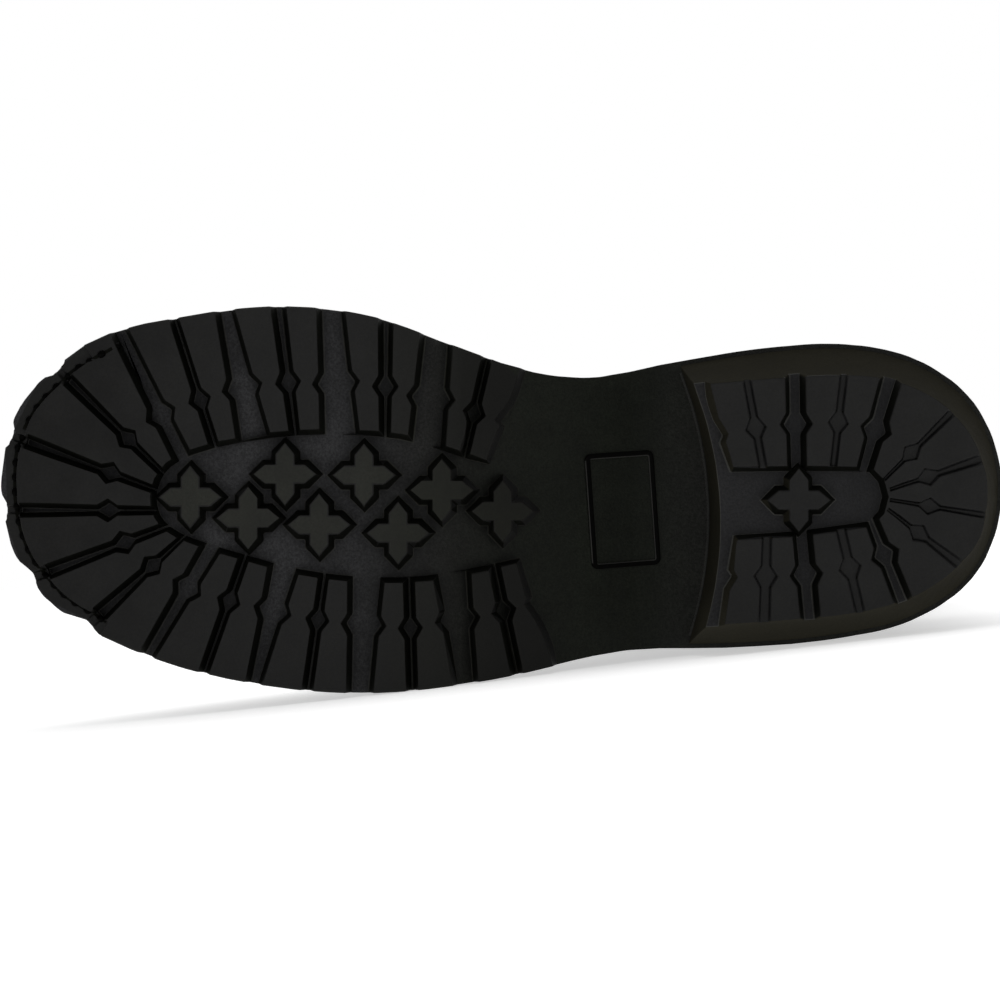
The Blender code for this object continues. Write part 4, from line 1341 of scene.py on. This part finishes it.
class BOOT_OT_shank_panel(bpy.types.Operator):
    """Moulds the plain frame on the shank, near-black as painted shade with a painted highlight on its inner
    slopes
    """

    bl_idname = "boot.shank_panel"
    bl_label = "Shank panel"

    def execute(self, context):
        sole = context.scene.boot_sole
        shank = tree_of(frame["nodes"]["outsole"])
        piece = flat_frame("shank_panel")
        lay_on_shank(piece, shank)
        shape_with(piece, "SOLIDIFY", thickness=(PANEL_RISE + PANEL_SINK) * MM, offset=1.0)
        soften(piece, PANEL_ROUND, BEVEL_CORNER)
        smooth_shade(piece)
        # The raised frame is painted near-black, painted shade for a recessed groove, and its inner slopes
        # take a painted highlight
        piece.data.materials.append(rubber("panel_shade", sole.toe_thread, **RUBBER["panel"]))
        piece.data.materials.append(rubber("panel_highlight", sole.edge, **RUBBER["panel_highlight"]))
        middle = place(*PANEL_CENTRE, 0.0)
        for polygon in piece.data.polygons:
            ground = shank.find_nearest(polygon.center)[1]
            level = polygon.normal - ground * polygon.normal.dot(ground)
            inner = level.dot(middle - polygon.center) > 0.0
            slanted = PANEL_SLANT[0] < level.length < PANEL_SLANT[1]
            polygon.material_index = 1 if inner and slanted else 0
        finish_piece(piece, "sole_rubber")
        return {"FINISHED"}


class BOOT_OT_welt(bpy.types.Operator):
    """Dresses the welt and sews it round"""

    bl_idname = "boot.welt"
    bl_label = "Welt"

    def execute(self, context):
        upper = context.scene.boot_upper
        piece = quad_cage("welt", "welt_strip")
        crease_sharp(piece)
        subdivide(piece, SHEET_LEVELS)
        soften(piece, WELT_ROUND, WELT_CORNER)
        smooth_shade(piece)
        skin = leather("welt_leather", shaded(upper.leather, WELT_SHADE), roughness=0.45, coat=0.05)
        piece.data.materials.append(skin)
        finish_piece(piece, "welt_leather", "welt")
        line = welt_line(WELT_STITCH_INSET)
        rows = [line + line[:1]]
        finish = thread("welt_thread", upper.thread)
        tree = tree_of(piece)
        sew("welt_stitches", rows, tree, upper.welt_stitch, WELT_THREAD * MM, finish, "welt_leather")
        return {"FINISHED"}


# Upper


class BOOT_OT_insole(bpy.types.Operator):
    """Dresses the insole"""

    bl_idname = "boot.insole"
    bl_label = "Insole"

    def execute(self, context):
        piece = solid_copy("insole", "insole_leather")
        with editing(piece, "FACE"):
            bpy.ops.mesh.dissolve_limited(angle_limit=INSOLE_FLAT)
        soften(piece, INSOLE_ROUND, BEVEL_CORNER, INSOLE_SEGMENTS)
        smooth_shade(piece)
        piece.data.materials.append(lining("insole_leather", context.scene.boot_upper.insole))
        finish_piece(piece, "insole_leather", "insole")
        return {"FINISHED"}


def crease_lift(spot):
    """How far the creases push a point of the upper in or out."""
    lift = 0.0
    for x0, z0, x1, z1, width, depth in CREASES:
        start, run = np.array([x0, z0]), np.array([x1 - x0, z1 - z0])
        away = np.array([spot.x, spot.z]) - start
        t = float(away @ run / (run @ run))
        fade = 1.0 - (2.0 * t - 1.0) ** 4 / CREASE_RUN_OUT
        if fade <= 0.0:
            continue
        across = float(run[0] * away[1] - run[1] * away[0]) / np.linalg.norm(run)
        trough = math.exp(-((across / width) ** 2))
        ridge = math.exp(-(((abs(across) - CREASE_RIDGE_AT * width) / width) ** 2))
        lift += fade * depth * (CREASE_RIDGE * ridge - trough)
    return lift


class BOOT_OT_upper(bpy.types.Operator):
    """Works creases into the leather upper and lines it"""

    bl_idname = "boot.upper"
    bl_label = "Upper"

    def execute(self, context):
        upper = context.scene.boot_upper
        piece = rounded_sheet("upper", "upper_leather", crisp_below=LASTED_BELOW)
        piece.data.materials.append(leather("leather_upper", upper.leather))
        piece.data.materials.append(lining("lining_leather", upper.lining))
        moves = []
        for vertex in piece.data.vertices:
            side = 1.0 if outwards(vertex.co, vertex.normal) > 0 else -1.0
            moves.append(vertex.normal * side * crease_lift(in_boot(vertex.co)) * MM)
        for polygon in piece.data.polygons:
            polygon.material_index = 0 if outwards(polygon.center, polygon.normal) > LINING_FACING else 1
        for vertex, move in zip(piece.data.vertices, moves):
            vertex.co += move
        piece.data.update()
        finish_piece(piece, "upper_leather", "upper")
        return {"FINISHED"}


def hem_line(node, inset, foot):
    """A line set in from the edge of an overlay, left open along its foot."""
    points = [point + way * inset for point, way in outline_of(node, outwards)]
    low = min(in_boot(point).z for point in points)
    return longest_run(points, lambda spot: spot.z > low + foot)


class BOOT_OT_overlays(bpy.types.Operator):
    """Dresses counter and eyestays and sews their edges"""

    bl_idname = "boot.overlays"
    bl_label = "Overlays"

    def execute(self, context):
        upper = context.scene.boot_upper
        skin = bpy.data.materials["leather_upper"]
        finish = thread("leather_thread", upper.thread)
        for node, (rows, foot) in OVERLAYS.items():
            piece = rounded_sheet(node, f"{node}_leather")
            piece.data.materials.append(skin)
            finish_piece(piece, "upper_leather", node)
            lines = [hem_line(node, upper.seam_inset + row * HEM_ROW * MM, foot) for row in range(rows)]
            name = f"{node}_stitches"
            sew(name, lines, tree_of(piece), upper.stitch, UPPER_THREAD * MM, finish, "upper_leather")
        return {"FINISHED"}


def leg_line(tree, facings, height):
    """A level line round the back of the leg, from one eyestay to the other."""
    spots = []
    for turn in np.radians(np.arange(*COLLAR_TURNS)):
        way = boot_way(math.cos(turn), math.sin(turn), 0.0)
        start = place(*LEG_AXIS, height) + way * LEG_REACH * MM
        hit = tree.ray_cast(start, -way, LEG_REACH * MM)[0]
        covered = any(facing.ray_cast(start, -way, LEG_REACH * MM)[0] is not None for facing in facings)
        if hit is not None and not covered:
            spots.append(hit)
    return spots


def quarter_line(tree, side, back):
    """The quarter's seam on one side of the upper, or a row set back from it."""
    sideways = boot_way(0.0, side, 0.0)
    spots = [place(x - back, side * LEG_REACH, z + back * SEAM_ROW_RISE) for x, z in QUARTER_SEAM]
    hits = [tree.ray_cast(spot, -sideways)[0] for spot in spots]
    return [hit for hit in hits if hit is not None]


class BOOT_OT_seams(bpy.types.Operator):
    """Sews the quarters over the vamp and the collar's seam"""

    bl_idname = "boot.seams"
    bl_label = "Seams"

    def execute(self, context):
        upper = context.scene.boot_upper
        tree = tree_of(bpy.data.objects["upper_leather"])
        finish = thread("seam_thread", upper.thread)
        # A near-black strip along the seam: the quarter's cut edge, with painted shade under the overlap
        cut_edge_and_shade = thread("cut_edge_and_shade", shaded(upper.leather, CUT_EDGE_SHADE), specular=0.1)
        rows = []
        for name, side in zip(SIDES, (1.0, -1.0)):
            edge, *stitches = (quarter_line(tree, side, back) for back in (0.0, *SEAM_ROWS))
            ribbon(f"quarter_edge_{name}", edge, tree, CUT_EDGE_WIDTH * MM, cut_edge_and_shade, "upper_leather")
            rows += stitches
        facings = [tree_of(frame["nodes"][f"eyestay_{side}"]) for side in SIDES]
        rings = [leg_line(tree, facings, height) for height in COLLAR_SEAM_ROWS]
        for name, lines in (("quarter_stitches", rows), ("collar_stitches", rings)):
            sew(name, lines, tree, upper.stitch, UPPER_THREAD * MM, finish, "upper_leather")
        return {"FINISHED"}


# Lacing


def eyelet_seat(side, number):
    """An eyelet's seat and the way it looks, from its solid."""
    mesh = frame["nodes"][f"eyelet_{side}_{number}"].data
    points = np.unique(np.round([vertex.co for vertex in mesh.vertices], EYELET_DECIMALS), axis=0)
    centre = points.mean(0)
    axis = Vector(np.linalg.svd(points - centre)[2][2])
    centre = Vector(centre)
    if axis.dot(centre - spine_point(centre)) < 0:
        axis = -axis
    return centre - axis * EYELET_HALF_RISE * MM, axis


def lace_end(seat, axis, towards, steps):
    """A lace's way between an eyelet's hole and the throat, over the facing's edge or under it."""
    way = (towards - axis * towards.dot(axis)).normalized()
    return [seat + way * along * MM + axis * height * MM for along, height in steps]


def lace_run(start, end, upper, steps, tree, radius):
    """One crossing: out of the first eyelet, over the tongue and under the facing of the next."""
    towards = end[0] - start[0]
    first = lace_end(*start, towards, steps)
    last = lace_end(*end, -towards, UNDER_FACING)
    out = (start[1] + end[1]).normalized()
    middle = []
    for t in np.linspace(0.0, 1.0, CROSSING_POINTS)[1:-1]:
        arch = math.sin(math.pi * t) ** 2 * radius
        spot = first[-1].lerp(last[-1], t) - out * arch
        ground = tree.ray_cast(spot + out * LACE_SIGHT * MM, -out)[0]
        if ground is not None and CROSSING_ENDS < t < 1.0 - CROSSING_ENDS:
            spot += out * max(0.0, radius + LACE_CLEAR * MM - (spot - ground).dot(out))
        middle.append(spot + out * arch * CROSSING_OVER if upper else spot)
    return first + middle + last[::-1]


def lace_half(side, seats, tree, radius):
    """Half of the lace, from the middle of the bottom bar to the top; the inner half passes over first."""
    sides = SIDES if side == "inner" else SIDES[::-1]
    here, there = (seats[name][0] for name in sides)
    bar = lace_end(*here, there[0] - here[0], OVER_FACING)
    across = lace_end(*there, here[0] - there[0], OVER_FACING)
    path = [(bar[-1] + across[-1]) / 2 + here[1] * BAR_RISE * MM] + bar[::-1]
    for number in range(EYELET_PAIRS - 1):
        start = seats[sides[number % 2]][number]
        end = seats[sides[(number + 1) % 2]][number + 1]
        upper = (number % 2 == 0) == (side == "inner")
        path += lace_run(start, end, upper, OVER_FACING if number else UNDER_FACING, tree, radius)
    seat, axis = seats[sides[(EYELET_PAIRS - 1) % 2]][EYELET_PAIRS - 1]
    return path + [seat + axis * height * MM for height in TOP_END]


def lace_path(radius):
    """The lace from one top eyelet to the other, in even steps with its bends softened."""
    tree = tree_of(frame["nodes"]["tongue"])
    seats = {side: [eyelet_seat(side, n) for n in range(1, EYELET_PAIRS + 1)] for side in SIDES}
    inner, outer = (lace_half(side, seats, tree, radius) for side in SIDES)
    spots = np.array(resampled(inner[:0:-1] + outer, LACE_STEP * MM))
    for _ in range(LACE_SOFTENING):
        spots[1:-1] = (spots[:-2] + 2.0 * spots[1:-1] + spots[2:]) / 4.0
    return [Vector(spot) for spot in spots]


class BOOT_OT_tongue(bpy.types.Operator):
    """Dresses the tongue, pressed in where the lace crosses it"""

    bl_idname = "boot.tongue"
    bl_label = "Tongue"

    def execute(self, context):
        radius = context.scene.boot_lacing.diameter / 2
        piece = rounded_sheet("tongue", "tongue_leather", TONGUE_LEVELS)
        spots = np.array(lace_path(radius))
        for vertex in piece.data.vertices:
            if outwards(vertex.co, vertex.normal) < PRESS_FACING:
                continue
            gap = float(np.linalg.norm(spots - np.array(vertex.co), axis=1).min())
            press = radius * PRESS_REACH - gap
            if press > 0.0:
                vertex.co -= vertex.normal * press * PRESS_SHARE
        piece.data.update()
        piece.data.materials.append(bpy.data.materials["leather_upper"])
        finish_piece(piece, "upper_leather", "tongue")
        return {"FINISHED"}


def turned_eyelet():
    """One eyelet, turned about z with its seat at the origin."""
    model = added(
        bpy.ops.mesh.primitive_circle_add, vertices=EYELET_SIDES, radius=EYELET_BORE * MM,
        location=(0.0, 0.0, EYELET_FOOT * MM),
    )
    with editing(model, "EDGE"):
        for widen, rise in EYELET_STEPS:
            bpy.ops.mesh.extrude_region_move(TRANSFORM_OT_translate={"value": (0.0, 0.0, rise * MM)})
            bpy.ops.transform.resize(value=(widen, widen, 1.0), center_override=(0.0, 0.0, 0.0))
        bpy.ops.mesh.select_all(action="SELECT")
        bpy.ops.mesh.normals_make_consistent(inside=False)
    bpy.ops.object.transform_apply(location=True, rotation=True, scale=True)
    shape_with(model, "SOLIDIFY", thickness=EYELET_WALL * MM, offset=-1.0)
    subdivide(model, EYELET_LEVELS)
    return model


class BOOT_OT_eyelets(bpy.types.Operator):
    """Turns one eyelet and sets a copy in each seat"""

    bl_idname = "boot.eyelets"
    bl_label = "Eyelets"

    def execute(self, context):
        model = turned_eyelet()
        model.data.materials.append(enamel("eyelet_enamel", context.scene.boot_lacing.enamel))
        for side in SIDES:
            for number in range(1, EYELET_PAIRS + 1):
                seat, axis = eyelet_seat(side, number)
                mesh = model.data.copy()
                turn = axis.to_track_quat("Z", "Y").to_matrix().to_4x4()
                mesh.transform(Matrix.Translation(seat) @ turn)
                piece = new_piece(f"eyelet_{side}_{number}_ring", mesh)
                smooth_shade(piece, CRISP_ROUND)
                finish_piece(piece, "eyelet_enamel", f"eyelet_{side}_{number}")
        bpy.data.objects.remove(model)
        return {"FINISHED"}


class BOOT_OT_lace(bpy.types.Operator):
    """Runs the lace through the eyelets, from the bottom bar to the top pair"""

    bl_idname = "boot.lace"
    bl_label = "Lace"

    def execute(self, context):
        lacing = context.scene.boot_lacing
        curve = bpy.data.curves.new("lace_cord", "CURVE")
        curve.dimensions = "3D"
        curve.bevel_depth = lacing.diameter / 2
        curve.bevel_resolution = LACE_RESOLUTION
        curve.use_fill_caps = True
        spots = lace_path(lacing.diameter / 2)
        spline = curve.splines.new("POLY")
        spline.points.add(len(spots) - 1)
        for point, spot in zip(spline.points, spots):
            point.co = (*spot, 1.0)
        select_only(new_piece("lace_cord", curve))
        bpy.ops.object.convert(target="MESH")
        piece = context.object
        with editing(piece):
            bpy.ops.mesh.remove_doubles(threshold=CAP_MERGE * MM)
        smooth_shade(piece, CRISP_ROUND)
        piece.data.materials.append(braid("lace_braid", lacing.cord, LACE_STEP * MM * len(spots)))
        finish_piece(piece, "lace_cord", "lace")
        return {"FINISHED"}


# Stage


def paper_floor(glow):
    """A pale floor that gives off a little light, so that the picture's ground is white."""
    floor = added(bpy.ops.mesh.primitive_plane_add, size=FLOOR_SIZE)
    floor.name = "floor"
    paper = Finish("floor_paper", FLOOR_COLOUR, roughness=0.9, specular=0.1)
    set_inputs(paper.shader, {"Emission Color": WHITE, "Emission Strength": glow})
    paper.bump(paper.noise(size=3.0), height=0.02)
    floor.data.materials.append(paper.material)
    return floor


def studio_world(dim):
    """A white studio, bright behind the boot and above it and dim on the camera's side."""
    world = bpy.data.worlds.new("studio")
    world.use_nodes = True
    tree = world.node_tree
    background = tree.nodes["Background"]
    background.inputs["Color"].default_value = WHITE
    around = add_node(tree, "TexCoord").outputs["Generated"]
    way = add_node(tree, "VectorMath", {1: BRIGHT_SIDE}, {0: around})
    way.operation = "DOT_PRODUCT"
    values = {"From Min": 0.0, "From Max": BRIGHT_FROM, "To Min": dim, "To Max": 1.0}
    fade = add_node(tree, "MapRange", values, {"Value": way.outputs["Value"]})
    fade.interpolation_type = "SMOOTHSTEP"
    tree.links.new(fade.outputs["Result"], background.inputs["Strength"])
    return world


def area_light(name, spot, target, size, power):
    data = bpy.data.lights.new(name, "AREA")
    data.energy = power
    data.size = size
    light = new_piece(name, data)
    light.location = spot
    light.rotation_euler = (target - spot).to_track_quat("-Z", "Y").to_euler()


def tread_camera(middle, distance, view_width):
    """A camera that looks straight at the tread, with the toe to the left."""
    data = bpy.data.cameras.new("camera")
    data.lens = data.sensor_width * distance / view_width
    camera = new_piece("camera", data)
    turn = Matrix((boot_way(-1, 0, 0), boot_way(0, 1, 0), boot_way(0, 0, -1))).transposed()
    camera.matrix_world = Matrix.Translation(middle - UP * distance) @ turn.to_4x4()
    return camera


class BOOT_OT_stage(bpy.types.Operator):
    """Sets floor, light and the camera that looks straight at the tread"""

    bl_idname = "boot.stage"
    bl_label = "Stage"

    def execute(self, context):
        scene = context.scene
        stage = scene.boot_stage
        floor = paper_floor(stage.floor_glow)
        scene.view_settings.view_transform = "Standard"
        scene.world = studio_world(stage.dim)
        middle = place(*VIEW_MIDDLE)
        behind = middle - UP * FRONT_LIGHT_AWAY + Vector((0.0, 0.0, FRONT_LIGHT_RISE))
        area_light("front_light", behind, middle, FRONT_LIGHT_SIZE, stage.front_light)
        area_light("top_light", middle + Vector(TOP_LIGHT_OFFSET), middle, TOP_LIGHT_SIZE, stage.top_light)
        scene.camera = tread_camera(middle, stage.distance, stage.view_width)
        return {"FINISHED"}


class BOOT_PT_finish(bpy.types.Panel):
    """Lists the boot's pieces in the order they are made"""

    bl_idname = "BOOT_PT_finish"
    bl_label = "Logger boot"
    bl_space_type = "VIEW_3D"
    bl_region_type = "UI"
    bl_category = "Boot"

    def draw(self, context):
        for operator in OPERATORS:
            self.layout.operator(operator.bl_idname)


GROUPS = {
    "boot_sole": BootSole,
    "boot_upper": BootUpper,
    "boot_lacing": BootLacing,
    "boot_stage": BootStage,
}
OPERATORS = (
    BOOT_OT_outsole,
    BOOT_OT_heel,
    BOOT_OT_toe_stitches,
    BOOT_OT_shank_panel,
    BOOT_OT_welt,
    BOOT_OT_insole,
    BOOT_OT_upper,
    BOOT_OT_overlays,
    BOOT_OT_seams,
    BOOT_OT_tongue,
    BOOT_OT_eyelets,
    BOOT_OT_lace,
    BOOT_OT_stage,
)


def register():
    for group in GROUPS.values():
        bpy.utils.register_class(group)
    for name, group in GROUPS.items():
        setattr(bpy.types.Scene, name, PointerProperty(type=group))
    for operator in OPERATORS:
        bpy.utils.register_class(operator)
    bpy.utils.register_class(BOOT_PT_finish)


def unregister():
    bpy.utils.unregister_class(BOOT_PT_finish)
    for operator in reversed(OPERATORS):
        bpy.utils.unregister_class(operator)
    for name, group in GROUPS.items():
        delattr(bpy.types.Scene, name)
        bpy.utils.unregister_class(group)


def main():
    register()
    bpy.ops.boot.outsole()
    bpy.ops.boot.heel()
    bpy.ops.boot.toe_stitches()
    bpy.ops.boot.shank_panel()
    bpy.ops.boot.welt()
    bpy.ops.boot.insole()
    bpy.ops.boot.upper()
    bpy.ops.boot.overlays()
    bpy.ops.boot.seams()
    bpy.ops.boot.tongue()
    bpy.ops.boot.eyelets()
    bpy.ops.boot.lace()
    bpy.ops.boot.stage()


if __name__ == "__main__":
    main()
